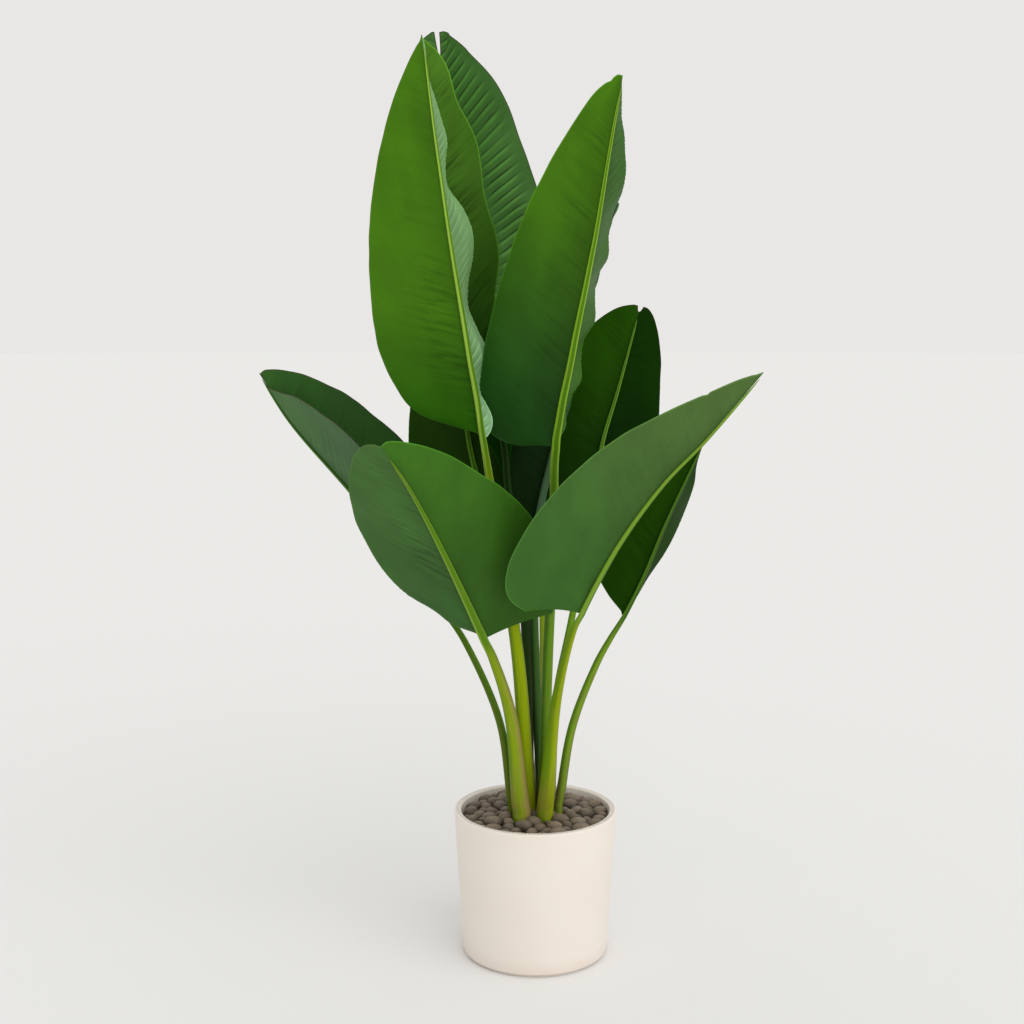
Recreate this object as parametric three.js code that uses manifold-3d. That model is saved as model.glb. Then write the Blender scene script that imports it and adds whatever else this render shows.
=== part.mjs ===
// Potted banana plant: eleven broad leaves on separate stalks, in a cream planter with river pebbles.
// Millimetres, +Z up, origin at the centre of the pot's foot. The front of the plant looks along -Y.

import * as THREE from "three";
import { mergeVertices } from "three/addons/utils/BufferGeometryUtils.js";
import Module from "manifold-3d";

const wasm = await Module();
wasm.setup();

// Clearance between pieces that touch
const GAP = 0.4;

// Planter
const POT_HEIGHT = 235;
const POT_TOP_RADIUS = 130;
const POT_BASE_RADIUS = 116;
const POT_WALL = 11;
const POT_FLOOR = 16;
const POT_LIP_ROUND = 3;
const POT_FOOT_RADIUS = 110;
const POT_FOOT_HEIGHT = 4;
const POT_FOOT_EDGE = 2.5;
const POT_SEGMENTS = 40;
const HOLE_SEGMENTS = 12;

// Filling
const SOIL_TOP = 211;
const ROOT_DEPTH = 160;
const BED_THICKNESS = 6;
const PEBBLE_COUNT = 62;
const PEBBLE_LENGTH = [25, 36];
const PEBBLE_WIDTH_SHARE = [0.7, 0.85];
const PEBBLE_HEIGHT_SHARE = [0.58, 0.72];
const PEBBLE_TILT = 0.3;
const PEBBLE_PROUD = 0.3;
const PEBBLE_LIFT = 3;
const PEBBLE_MOUND = 6;
const PEBBLE_TOP = 243;
const PEBBLE_SEED = 7;

// Leaves
const BLADE_THICKNESS = 1.0;
const COLUMNS = 3;
const STALK_SIDES = 6;
const STALK_ROWS = 9;
const RIB_FLATNESS = 0.85;
const LEAST_HALF_WIDTH = 2.5;
const WALK_STEPS = 200;
const NOTCH_FROM = 0.65;
const NOTCH_TO = 0.92;

// Each leaf: the path runs from the pebbles along the stalk and the midrib to the tip, and the blade
// starts at path point number foot. upper is the way the upper side looks, at the foot and at the tip.
// radii are the stalk's at the pebbles, at the blade's foot and at the midrib's end, and taper says how
// soon the stalk thins from the first to the second: evenly at 1, early at 2.
// A half of the blade has its half widths at stations from foot to tip, close together at both ends; fold
// and curl in degrees; sweep, how far the margin runs ahead of its rib, as a share of the half width; a
// wave of the margin as height, count and phase; cuts, each at a share of the stations with its depth as a
// share of the half width; and notch, how far the margin runs past the midrib's end at the tip.
const LEAVES = [
  {
    // Tall, front left
    name: "01",
    colour: 0x3f7a14,
    rows: 36,
    root: [-12, -7],
    radii: [12.5, 5, 1.5],
    taper: 1,
    ribEnd: 0.97,
    path: [
      [-12, -9, 252], [-28, -45, 490], [-58, -80, 690], [-81.5, -105, 835],
      [-115, -125, 1040], [-145, -130, 1245], [-166, -115, 1413],
    ],
    foot: 3,
    upper: [[0, 1, 0.1], [0, 1, 0.05]],
    left: {
      half: [2.5, 8, 87, 118, 132, 131, 122, 103, 78, 52, 26, 6, 2.5],
      fold: 6, curl: 12, sweep: [0.1, 0.1, 0.1, 0.08, 0.1, 0.1, 0.1],
      wave: [3, 2.5, 0], cuts: [], notch: 0,
    },
    right: {
      half: [3, 22, 40, 58, 86, 108, 110, 95, 75, 52, 28, 12, 3],
      fold: [
        45, 45, 45, 52, 68, 82, 79, 70, 78.5, 85, 82.5, 76, 73,
        77, 86.5, 85, 79, 80.5, 83, 87, 88, 85, 82, 80, 79,
      ],
      curl: 0, sweep: [0, 0.1, 0.1],
      wave: [0, 1, 0], cuts: [], notch: 0,
    },
  },
  {
    // Tall, right behind the first
    name: "02",
    colour: 0x38691a,
    rows: 24,
    root: [-8, 18],
    radii: [8, 6, 1.5],
    taper: 1,
    ribEnd: 0.95,
    path: [
      [-9, 20, 252], [-14, 30, 490], [-27, 38, 640], [-43, 42, 740], [-53, 46, 830],
      [-106, 50, 995], [-151, 55, 1195], [-174, 50, 1440],
    ],
    foot: 3,
    upper: [[0, 1, 0.05], [0, 1, 0]],
    left: {
      half: [2.5, 5, 12, 38, 66, 76, 75, 70, 60, 45, 25, 9, 2.5],
      fold: 8, curl: 8, sweep: [0, 0.2, 0.1],
      wave: [4, 4, 0.3], cuts: [], notch: 0,
    },
    right: {
      half: [2.5, 5, 6, 24, 38, 47, 78, 73, 73, 45, 34, 13, 2.5],
      fold: 8, curl: 8, sweep: [0, 0.2, 0.1],
      wave: [6, 5, 0], cuts: [], notch: 0,
    },
  },
  {
    // Tall, at the back, upper side to the front, notched tip
    name: "03",
    colour: 0x2f5f27,
    rows: 24,
    root: [4, 40],
    radii: [8.5, 5, 1.5],
    taper: 1,
    ribEnd: 0.98,
    path: [
      [5, 43, 252], [15, 105, 490], [0, 155, 740], [-32, 178, 910],
      [-65, 190, 1125], [-105, 190, 1308], [-141, 187, 1388], [-153, 183, 1421],
      [-154.5, 182, 1436],
    ],
    foot: 2,
    upper: [[0, -1, 0.05], [0, -1, 0.05]],
    left: {
      half: [4, 16, 30, 51, 71, 85, 92, 88, 77, 72, 49, 21, 3],
      fold: 12, curl: -6, sweep: [0, 0.2, 0.45],
      wave: [3, 4, 0], cuts: [], notch: 37,
    },
    right: {
      half: [4, 16, 29, 47, 64, 76, 84, 87, 84, 72, 48, 20, 5],
      fold: 12, curl: -6, sweep: [0, 0.2, 0.45],
      wave: [3, 4, 0.4], cuts: [], notch: 37,
    },
  },
  {
    // Tall, front right
    name: "04",
    colour: 0x3a7018,
    rows: 32,
    root: [11, -4],
    radii: [9, 6.5, 1.5],
    taper: 1,
    ribEnd: 0.97,
    path: [
      [12, -6, 252], [19, -35, 500], [26, -70, 695], [25, -92, 823],
      [50, -120, 970], [80, -135, 1125], [105, -135, 1275], [120, -125, 1355],
    ],
    foot: 3,
    upper: [[0.05, 1, 0.1], [0.05, 1, 0.05]],
    left: {
      half: [50, 104, 125, 131, 134, 129, 119, 101, 80, 57, 37, 15, 4],
      fold: 9, curl: 18, sweep: [-0.15, 0, 0.1, 0.15, 0.2, 0.2, 0.2],
      wave: [3, 3, 0], cuts: [[0.92, 0.12]], notch: 0,
    },
    right: {
      half: [3, 30, 62, 92, 110, 114, 110, 100, 85, 60, 34, 14, 3.5],
      fold: [
        81, 77, 73, 72, 80, 79, 74.5, 79.5, 81, 76, 79.5, 81.5, 75.5,
        78, 77, 71, 69, 71.5, 73, 77.5, 79.5, 82, 87, 91, 91.5,
      ],
      curl: 0, sweep: [0, 0.15, 0.2],
      wave: [0, 1, 0], cuts: [], notch: 0,
    },
  },
  {
    // Tall, behind the fourth
    name: "05",
    colour: 0x24501a,
    rows: 18,
    root: [12, 20],
    radii: [9, 7, 1.5],
    taper: 1,
    ribEnd: 0.95,
    path: [
      [11, 23, 252], [-1, 42, 480], [-3, 50, 645], [2, 50, 700], [45, 55, 885],
      [97, 50, 1103], [128, 50, 1192],
    ],
    foot: 2,
    upper: [[0, 1, 0.1], [0, 1, 0]],
    left: {
      half: [8, 39, 65, 66, 51, 24, 2.5],
      fold: 5, curl: 5, sweep: [0, 0.15, 0.2],
      wave: [3, 3, 0], cuts: [], notch: 0,
    },
    right: {
      half: [3, 20, 46, 56, 46, 20, 4],
      fold: [82, 82, 82, 83, 84, 84, 82], curl: 0, sweep: [0, 0.15, 0.2],
      wave: [8, 4, 0], cuts: [], notch: 0,
    },
  },
  {
    // Middle height, at the back on the left
    name: "06",
    colour: 0x1f4a1c,
    rows: 16,
    root: [-25, 23],
    radii: [7, 5, 1.5],
    taper: 1,
    ribEnd: 0.95,
    path: [
      [-26, 26, 252], [-24, 48, 430], [-44, 68, 610], [-80, 80, 715],
      [-105, 80, 810], [-120, 90, 930], [-140, 90, 1060],
    ],
    foot: 3,
    upper: [[0.05, 1, 0.05], [0.05, 1, 0]],
    left: {
      half: [31, 49, 69, 91, 102, 98, 88, 74, 56, 35, 16, 7, 2.5],
      fold: 8, curl: 5, sweep: [0, 0.15, 0.2],
      wave: [3, 3, 0], cuts: [], notch: 0,
    },
    right: {
      half: [20, 60, 90, 80, 50, 16, 2.5],
      fold: 8, curl: 5, sweep: [0, 0.15, 0.2],
      wave: [3, 3, 0.5], cuts: [], notch: 0,
    },
  },
  {
    // Low, far left, folded to a V and seen from its side
    name: "07",
    colour: 0x2a5a26,
    rows: 18,
    root: [-36, -14],
    radii: [7.5, 4, 1.5],
    taper: 1.5,
    ribEnd: 0.98,
    path: [
      [-38, -16, 252], [-57, -25, 385], [-111, -35, 515], [-140, -35, 560],
      [-188, -30, 632], [-286, -20, 749], [-379, -10, 855], [-427, 0, 928],
    ],
    foot: 4,
    upper: [[0.75, -0.5, 0.44], [0.75, -0.5, 0.44]],
    left: {
      half: [5, 19, 41, 75, 105, 112, 105, 97, 80, 61, 37, 17, 5],
      fold: 55, curl: 0, sweep: [0, 0.2, 0.3],
      wave: [3, 3, 0], cuts: [], notch: 0,
    },
    right: {
      half: [4, 15, 37, 77, 113, 133, 132, 108, 80, 35, 4, 3, 4],
      fold: 62, curl: 0, sweep: [0, 0.2, 0.3],
      wave: [2, 3, 0.5], cuts: [], notch: 0,
    },
  },
  {
    // Middle height, right, notched tip
    name: "08",
    colour: 0x1e4a10,
    rows: 18,
    root: [24, 38],
    radii: [8, 4.5, 1.5],
    taper: 1,
    ribEnd: 0.96,
    path: [
      [26, 41, 252], [35, 55, 400], [58, 68, 520], [95, 95, 710], [110, 120, 810],
      [135, 130, 895], [170, 140, 1025],
    ],
    foot: 3,
    upper: [[0, 1, 0.05], [0, 1, 0]],
    left: {
      half: [72, 78, 84, 90, 94, 97, 97, 94, 84, 63, 40, 17, 4],
      fold: 8, curl: 5, sweep: [-0.3, 0.15, 0.3],
      wave: [2, 3, 0], cuts: [], notch: 8,
    },
    right: {
      half: [20, 38, 57, 79, 95, 97, 90, 78, 66, 51, 35, 19, 6],
      fold: 20, curl: 10, sweep: [0, 0.15, 0.3],
      wave: [2, 3, 0.5], cuts: [], notch: 8,
    },
  },
  {
    // Low, front left, leans to the front
    name: "09",
    colour: 0x3a6428,
    rows: 20,
    root: [-22, -34],
    radii: [14.5, 6.5, 1.5],
    taper: 2.2,
    ribEnd: 0.93,
    path: [
      [-24, -36, 255], [-40, -60, 405], [-66, -92, 500], [-79, -107, 534],
      [-134, -190, 675], [-176, -265, 775], [-211, -330, 843],
    ],
    foot: 3,
    upper: [[-0.3, 0.75, 0.5], [-0.3, 0.75, 0.5]],
    left: {
      half: [4, 5, 36, 57, 90, 103, 112, 115, 98, 79, 54, 29, 8],
      fold: 28, curl: 8, sweep: [0.6, 0.14, -0.09, -0.1, -0.08, 0.12, 0.6],
      wave: [4, 4, 0], cuts: [], notch: 0,
    },
    right: {
      half: [112, 120, 125, 135, 143, 138, 121, 96, 73, 50, 30, 15, 4],
      fold: 6, curl: 6, sweep: [-0.2, 0.1, 0.3],
      wave: [2, 3, 0], cuts: [], notch: 0,
    },
  },
  {
    // Low, front right, long, its other half folded behind
    name: "10",
    colour: 0x3f6e2c,
    rows: 20,
    root: [15, -34],
    radii: [13.5, 5, 1.5],
    taper: 2.2,
    ribEnd: 0.98,
    path: [
      [16, -36, 255], [30, -80, 430], [52, -135, 550], [62, -150, 582],
      [113, -210, 695], [171, -250, 785], [225, -290, 850], [295, -325, 940],
    ],
    foot: 3,
    upper: [[-0.1, 0.95, 0.4], [-0.1, 0.95, 0.4]],
    left: {
      half: [75, 111, 125, 127, 123, 113, 100, 84, 65, 41, 22, 7, 3],
      fold: 5, curl: 8, sweep: [-0.36, 0.02, 0.11, 0.1, 0, 0, 0.02],
      wave: [2, 3, 0], cuts: [[0.75, 0.05]], notch: 0,
    },
    right: {
      half: [10, 80, 105, 90, 55, 19, 3],
      fold: 95, curl: 0, sweep: [0, 0.1, 0.2],
      wave: [3, 3, 0], cuts: [], notch: 0,
    },
  },
  {
    // Low, right, behind the tenth
    name: "11",
    colour: 0x234a10,
    rows: 16,
    root: [37, -8],
    radii: [7.5, 4, 1.5],
    taper: 1,
    ribEnd: 0.96,
    path: [
      [39, -8, 252], [59, -3, 370], [96, 10, 465], [118, 15, 507], [140, 20, 545],
      [170, 25, 605], [205, 30, 690], [265, 35, 820],
    ],
    foot: 4,
    upper: [[-0.1, 0.97, 0.05], [-0.1, 0.97, 0.05]],
    left: {
      half: [3, 8, 39, 71, 84, 84, 78, 67, 53, 36, 19, 10, 3],
      fold: 8, curl: 5, sweep: [-0.1, 0.1, 0.2],
      wave: [2, 3, 0], cuts: [], notch: 0,
    },
    right: {
      half: [3, 8, 11, 21, 29, 47, 62, 64, 46, 19, 7, 3, 2.5],
      fold: 55, curl: 0, sweep: [0, 0.1, 0.2],
      wave: [2, 3, 0.5], cuts: [], notch: 0,
    },
  },
];

// A seeded draw between 0 and 1, the same in every run
function seededDraw(seed) {
  let state = seed;
  return () => {
    state = (Math.imul(state, 1664525) + 1013904223) >>> 0;
    return state / 4294967296;
  };
}

// A smooth curve through values at equal steps of t
function through(values, t) {
  if (typeof values === "number") return values;
  const last = values.length - 1;
  const i = Math.min(Math.floor(last * t), last - 1);
  const before = i > 0 ? values[i - 1] : 2 * values[0] - values[1];
  const after = i < last - 1 ? values[i + 2] : 2 * values[last] - values[last - 1];
  const slopeIn = (values[i + 1] - before) / 2;
  const slopeOut = (after - values[i]) / 2;
  const w = last * t - i;
  const rise = values[i + 1] - values[i];
  return values[i] + slopeIn * w + (3 * rise - 2 * slopeIn - slopeOut) * w * w
    + (slopeIn + slopeOut - 2 * rise) * w ** 3;
}

// Share of the blade's length at station t: the stations crowd at the foot and at the tip
function along(t) {
  return (1 - Math.cos(Math.PI * t)) / 2;
}

// The curve of stalk and midrib, with equal lengths on the blade found by a fine walk along it
class Spine {
  constructor(leaf) {
    this.curve = new THREE.CatmullRomCurve3(leaf.path.map((p) => new THREE.Vector3(...p)));
    this.footAt = leaf.foot / (leaf.path.length - 1);
    this.upper = leaf.upper.map((v) => new THREE.Vector3(...v));
    this.marks = [];
    let length = 0;
    let last = this.curve.getPoint(this.footAt);
    for (let k = 0; k <= WALK_STEPS; k++) {
      const t = this.footAt + ((1 - this.footAt) * k) / WALK_STEPS;
      const point = this.curve.getPoint(t);
      length += point.distanceTo(last);
      last = point;
      this.marks.push([length, t]);
    }
    this.length = length;
  }

  // Curve parameter at a share of the blade's length
  parameter(share) {
    const wanted = share * this.length;
    const k = this.marks.findIndex(([length]) => length >= wanted);
    if (k <= 0) return k === 0 ? this.footAt : 1;
    const [l0, t0] = this.marks[k - 1];
    const [l1, t1] = this.marks[k];
    return t0 + ((t1 - t0) * (wanted - l0)) / (l1 - l0);
  }

  // Place, direction, way of the upper side, and way to the left half
  frame(t) {
    const place = this.curve.getPoint(t);
    const ahead = this.curve.getTangent(t);
    const share = Math.max(0, (t - this.footAt) / (1 - this.footAt));
    const up = this.upper[0].clone().lerp(this.upper[1], share);
    up.addScaledVector(ahead, -up.dot(ahead)).normalize();
    const left = new THREE.Vector3().crossVectors(ahead, up);
    return { place, ahead, up, left };
  }
}

// A point of the blade: side is 1 on the left half and -1 on the right, v runs from midrib to margin, and
// kept is the share of the half width that a cut leaves
function bladePoint(frame, half, side, t, v, kept) {
  const width = kept * Math.max(LEAST_HALF_WIDTH, through(half.half, t));
  const widest = Math.max(...half.half);
  const [height, count, phase] = half.wave;
  const angle = THREE.MathUtils.degToRad(through(half.fold, t) + (half.curl * v) / 2);
  const wave = height * (width / widest) * v * v * Math.sin(2 * Math.PI * (count * t + phase));
  const flat = width * v;
  const lobe = half.notch * THREE.MathUtils.smoothstep(t, NOTCH_FROM, NOTCH_TO) * v * v;
  const reachLeft = side * (flat * Math.cos(angle) - wave * Math.sin(angle));
  const reachUp = flat * Math.sin(angle) + wave * Math.cos(angle);
  return frame.place
    .clone()
    .addScaledVector(frame.left, reachLeft)
    .addScaledVector(frame.up, reachUp)
    .addScaledVector(frame.ahead, through(half.sweep, t) * flat * v + lobe);
}

// A closed sheet of even thickness over a grid of points, split into triangles alike on both faces
function sheetGeometry(grid, thickness) {
  const rows = grid.length;
  const columns = grid[0].length;
  const positions = [];
  for (const side of [1, -1])
    for (let i = 0; i < rows; i++)
      for (let j = 0; j < columns; j++) {
        const down = grid[Math.min(i + 1, rows - 1)][j].clone().sub(grid[Math.max(i - 1, 0)][j]);
        const across = grid[i][Math.min(j + 1, columns - 1)].clone().sub(grid[i][Math.max(j - 1, 0)]);
        const normal = across.cross(down).normalize();
        positions.push(...grid[i][j].clone().addScaledVector(normal, (side * thickness) / 2));
      }
  const top = (i, j) => i * columns + j;
  const bottom = (i, j) => rows * columns + top(i, j);
  const index = [];
  for (let i = 0; i < rows - 1; i++)
    for (let j = 0; j < columns - 1; j++) {
      index.push(top(i, j), top(i, j + 1), top(i + 1, j + 1), top(i, j), top(i + 1, j + 1), top(i + 1, j));
      index.push(bottom(i, j), bottom(i + 1, j + 1), bottom(i, j + 1));
      index.push(bottom(i, j), bottom(i + 1, j), bottom(i + 1, j + 1));
    }
  const rim = [];
  for (let j = 0; j < columns - 1; j++) rim.push([0, j]);
  for (let i = 0; i < rows - 1; i++) rim.push([i, columns - 1]);
  for (let j = columns - 1; j > 0; j--) rim.push([rows - 1, j]);
  for (let i = rows - 1; i > 0; i--) rim.push([i, 0]);
  rim.forEach(([i, j], k) => {
    const [ni, nj] = rim[(k + 1) % rim.length];
    index.push(top(i, j), bottom(i, j), bottom(ni, nj), top(i, j), bottom(ni, nj), top(ni, nj));
  });
  return new THREE.BufferGeometry()
    .setAttribute("position", new THREE.Float32BufferAttribute(positions, 3))
    .setIndex(index);
}

// The blade: rows from foot to tip, columns from the right margin over the midrib to the left margin
function bladeGeometry(leaf, spine) {
  const grid = [];
  for (let i = 0; i <= leaf.rows; i++) {
    const t = i / leaf.rows;
    const frame = spine.frame(spine.parameter(along(t)));
    const row = [];
    for (let j = -COLUMNS; j <= COLUMNS; j++) {
      const side = j < 0 ? -1 : 1;
      const half = side < 0 ? leaf.right : leaf.left;
      const cut = half.cuts.find(([at]) => Math.round(at * leaf.rows) === i);
      row.push(bladePoint(frame, half, side, t, Math.abs(j) / COLUMNS, cut ? 1 - cut[1] : 1));
    }
    grid.push(row);
  }
  return sheetGeometry(grid, BLADE_THICKNESS);
}

// A closed rod through rings of points
function rodGeometry(rings) {
  const sides = rings[0].length;
  const positions = rings.flat().flatMap((p) => [...p]);
  const index = [];
  for (let i = 0; i < rings.length - 1; i++)
    for (let k = 0; k < sides; k++) {
      const a = i * sides + k;
      const b = i * sides + ((k + 1) % sides);
      index.push(a, b, b + sides, a, b + sides, a + sides);
    }
  const end = (rings.length - 1) * sides;
  for (let k = 1; k < sides - 1; k++) {
    index.push(0, k + 1, k);
    index.push(end, end + k, end + k + 1);
  }
  return new THREE.BufferGeometry()
    .setAttribute("position", new THREE.Float32BufferAttribute(positions, 3))
    .setIndex(index);
}

// A ring of the stalk or midrib: flat side towards the blade, set off from the curve by lift
function ring(centre, across, up, radius, flatness) {
  const points = [];
  for (let k = 0; k < STALK_SIDES; k++) {
    const angle = (-2 * Math.PI * k) / STALK_SIDES;
    points.push(
      centre
        .clone()
        .addScaledVector(across, radius * Math.cos(angle))
        .addScaledVector(up, flatness * radius * Math.sin(angle)),
    );
  }
  return points;
}

// The frame of the keel where the halves of the blade meet: place, across the halves, and up into the fold
function keelFrame(leaf, spine, at, t) {
  const { place, ahead, up, left } = spine.frame(at);
  const foldLeft = THREE.MathUtils.degToRad(through(leaf.left.fold, t));
  const foldRight = THREE.MathUtils.degToRad(through(leaf.right.fold, t));
  const across = left
    .clone()
    .multiplyScalar(Math.cos(foldLeft) + Math.cos(foldRight))
    .addScaledVector(up, Math.sin(foldLeft) - Math.sin(foldRight))
    .normalize();
  return { place, across, up: new THREE.Vector3().crossVectors(across, ahead).normalize() };
}

// The stalk out of the soil and the midrib under the blade, in one body
function stalkGeometry(leaf, spine) {
  const [rootRadius, footRadius, endRadius] = leaf.radii;
  const rings = [];
  const upright = new THREE.Vector3(0, 0, 1);
  const level = keelFrame(leaf, spine, 0, 0).across.setZ(0).normalize();
  for (const height of [ROOT_DEPTH + GAP, PEBBLE_TOP]) {
    const place = new THREE.Vector3(...leaf.root, height);
    rings.push(ring(place, level, level.clone().cross(upright), rootRadius, 1));
  }
  const shoulder = Math.sin(Math.PI / 3);
  const drop = (radius) => shoulder * RIB_FLATNESS * radius + BLADE_THICKNESS / 2 + GAP;
  for (let i = 0; i < STALK_ROWS; i++) {
    const share = i / STALK_ROWS;
    const { place, across, up } = keelFrame(leaf, spine, spine.footAt * share, 0);
    const radius = footRadius + (rootRadius - footRadius) * (1 - share) ** leaf.taper;
    const meet = Math.max(0, 2 * share - 1) ** 2;
    place.addScaledVector(up, -drop(radius) * meet);
    rings.push(ring(place, across, up, radius, 1 + (RIB_FLATNESS - 1) * meet));
  }
  for (let i = 0; i <= leaf.rows; i++) {
    const t = i / leaf.rows;
    const share = along(t);
    if (share > leaf.ribEnd) break;
    const { place, across, up } = keelFrame(leaf, spine, spine.parameter(share), t);
    const radius = footRadius + (endRadius - footRadius) * (share / leaf.ribEnd);
    place.addScaledVector(up, -drop(radius));
    rings.push(ring(place, across, up, radius, RIB_FLATNESS));
  }
  return rodGeometry(rings);
}

// Outer radius of the planter at a height
function potRadius(z) {
  return POT_BASE_RADIUS + ((POT_TOP_RADIUS - POT_BASE_RADIUS) * z) / POT_HEIGHT;
}

function potGeometry() {
  const points = [
    [0, 0],
    [POT_FOOT_RADIUS, 0],
    [POT_FOOT_RADIUS, POT_FOOT_HEIGHT],
    [potRadius(POT_FOOT_HEIGHT) - POT_FOOT_EDGE, POT_FOOT_HEIGHT],
    [potRadius(POT_FOOT_HEIGHT), POT_FOOT_HEIGHT + POT_FOOT_EDGE],
  ];
  const lipOut = POT_TOP_RADIUS - POT_LIP_ROUND;
  const lipIn = POT_TOP_RADIUS - POT_WALL + POT_LIP_ROUND;
  const lipZ = POT_HEIGHT - POT_LIP_ROUND;
  const quarter = Math.PI / 2;
  for (const turn of [0, 1 / 3, 2 / 3, 1]) {
    const angle = turn * quarter;
    points.push([lipOut + POT_LIP_ROUND * Math.cos(angle), lipZ + POT_LIP_ROUND * Math.sin(angle)]);
  }
  for (const turn of [0, 1 / 3, 2 / 3, 1]) {
    const angle = quarter + turn * quarter;
    points.push([lipIn + POT_LIP_ROUND * Math.cos(angle), lipZ + POT_LIP_ROUND * Math.sin(angle)]);
  }
  points.push([potRadius(POT_FLOOR) - POT_WALL, POT_FLOOR], [0, POT_FLOOR]);
  return new THREE.LatheGeometry(
    points.map(([r, z]) => new THREE.Vector2(r, z)),
    POT_SEGMENTS,
  ).rotateX(quarter);
}

// Solids for joins and cuts
function solidOf(geometry) {
  const bare = geometry.clone();
  bare.deleteAttribute("normal");
  bare.deleteAttribute("uv");
  const merged = mergeVertices(bare, 1e-3);
  return new wasm.Manifold(
    new wasm.Mesh({
      numProp: 3,
      vertProperties: new Float32Array(merged.attributes.position.array),
      triVerts: new Uint32Array(merged.index.array),
    }),
  );
}

function geometryOf(solid) {
  const mesh = solid.getMesh();
  return new THREE.BufferGeometry()
    .setAttribute("position", new THREE.Float32BufferAttribute(mesh.vertProperties, 3))
    .setIndex([...mesh.triVerts]);
}

// An upright round plug between two heights
function plug(topRadius, bottomRadius, low, high, segments, x = 0, y = 0) {
  return new THREE.CylinderGeometry(topRadius, bottomRadius, high - low, segments)
    .rotateX(Math.PI / 2)
    .translate(x, y, (low + high) / 2);
}

// Plain holes for the stalks, a little wider than they are
function cutStalkHoles(solid, low, high) {
  return LEAVES.reduce((rest, leaf) => {
    const radius = (leaf.radii[0] + GAP) / Math.cos(Math.PI / HOLE_SEGMENTS);
    return rest.subtract(solidOf(plug(radius, radius, low, high, HOLE_SEGMENTS, ...leaf.root)));
  }, solid);
}

function soilGeometry() {
  const low = POT_FLOOR + GAP;
  const inner = (z) => potRadius(z) - POT_WALL - 2 * GAP;
  const body = solidOf(plug(inner(SOIL_TOP), inner(low), low, SOIL_TOP, POT_SEGMENTS));
  return geometryOf(cutStalkHoles(body, ROOT_DEPTH, SOIL_TOP + 1));
}

// River pebbles on a thin bed, set on a sunflower spiral and drawn in size and turn
function pebbleGeometry() {
  const draw = seededDraw(PEBBLE_SEED);
  const between = ([low, high]) => low + (high - low) * draw();
  const low = SOIL_TOP + GAP;
  const high = low + BED_THICKNESS;
  const inner = potRadius(low) - POT_WALL - 2 * GAP;
  let bed = solidOf(plug(inner, inner, low, high, POT_SEGMENTS));
  const golden = Math.PI * (3 - Math.sqrt(5));
  for (let k = 0; k < PEBBLE_COUNT; k++) {
    const length = between(PEBBLE_LENGTH);
    const size = new THREE.Vector3(
      length / 2,
      (length * between(PEBBLE_WIDTH_SHARE)) / 2,
      (length * between(PEBBLE_HEIGHT_SHARE)) / 2,
    );
    const tilt = [-PEBBLE_TILT, PEBBLE_TILT];
    const turn = new THREE.Euler(between(tilt), between(tilt), between([0, Math.PI]));
    const share = Math.sqrt((k + 0.5) / PEBBLE_COUNT);
    const reach = (inner - length / 2 - 1) * share;
    const x = reach * Math.cos(k * golden);
    const y = reach * Math.sin(k * golden);
    const mound = PEBBLE_MOUND * (1 - share * share);
    const z = high + PEBBLE_PROUD * size.z + mound + between([0, PEBBLE_LIFT]);
    const stone = new THREE.IcosahedronGeometry(1, 0)
      .scale(size.x, size.y, size.z)
      .applyMatrix4(new THREE.Matrix4().makeRotationFromEuler(turn))
      .translate(x, y, z);
    bed = bed.add(solidOf(stone));
  }
  const cut = cutStalkHoles(bed, low - 1, PEBBLE_TOP);
  const bodies = cut.decompose().sort((a, b) => b.volume() - a.volume());
  return geometryOf(bodies[0]);
}

// The plant in its pot
const plant = new THREE.Group();

function add(name, geometry, colour, roughness) {
  geometry.computeVertexNormals();
  const material = new THREE.MeshStandardMaterial({ color: colour, roughness, metalness: 0 });
  const mesh = new THREE.Mesh(geometry, material);
  mesh.name = name;
  plant.add(mesh);
}

add("pot", potGeometry(), 0xe9dfd2, 0.55);
add("soil", soilGeometry(), 0x3a2a1e, 0.95);
add("pebbles", pebbleGeometry(), 0x6e6459, 0.8);
for (const leaf of LEAVES) {
  const spine = new Spine(leaf);
  add(`stalk_${leaf.name}`, stalkGeometry(leaf, spine), 0x6f9c1e, 0.45);
  add(`blade_${leaf.name}`, bladeGeometry(leaf, spine), leaf.colour, 0.5);
}

export default plant;
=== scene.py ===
"""A potted banana plant: looks of the planter, river pebbles, leaf stalks and leaf blades.

The sizes repeat the part's source, in millimetres, and each piece is made in metres where its node is.
"""

import math

import bpy
import numpy as np
from mathutils import Matrix, Vector


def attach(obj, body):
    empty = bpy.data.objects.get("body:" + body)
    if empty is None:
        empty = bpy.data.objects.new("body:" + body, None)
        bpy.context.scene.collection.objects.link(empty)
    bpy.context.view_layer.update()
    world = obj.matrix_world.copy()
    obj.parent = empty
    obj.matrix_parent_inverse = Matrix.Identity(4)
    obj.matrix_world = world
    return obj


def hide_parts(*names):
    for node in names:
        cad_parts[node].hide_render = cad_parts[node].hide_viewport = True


bl_info = {
    "name": "Potted Banana Plant",
    "version": (1, 0, 0),
    "blender": (4, 5, 0),
    "location": "3D View > Sidebar > Plant",
    "description": "Models the planter, pebbles, stalks and leaves round the packed plant",
    "category": "Object",
}

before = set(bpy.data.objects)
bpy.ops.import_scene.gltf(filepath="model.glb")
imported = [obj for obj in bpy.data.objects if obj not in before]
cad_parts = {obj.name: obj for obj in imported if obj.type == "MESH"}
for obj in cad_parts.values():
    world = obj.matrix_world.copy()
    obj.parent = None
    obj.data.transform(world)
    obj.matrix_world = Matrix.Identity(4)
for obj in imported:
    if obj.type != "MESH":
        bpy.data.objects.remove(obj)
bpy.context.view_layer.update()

# A millimetre in metres, and the clearance between neighbouring pieces in millimetres
MM = 0.001
GAP = 0.4

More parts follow.
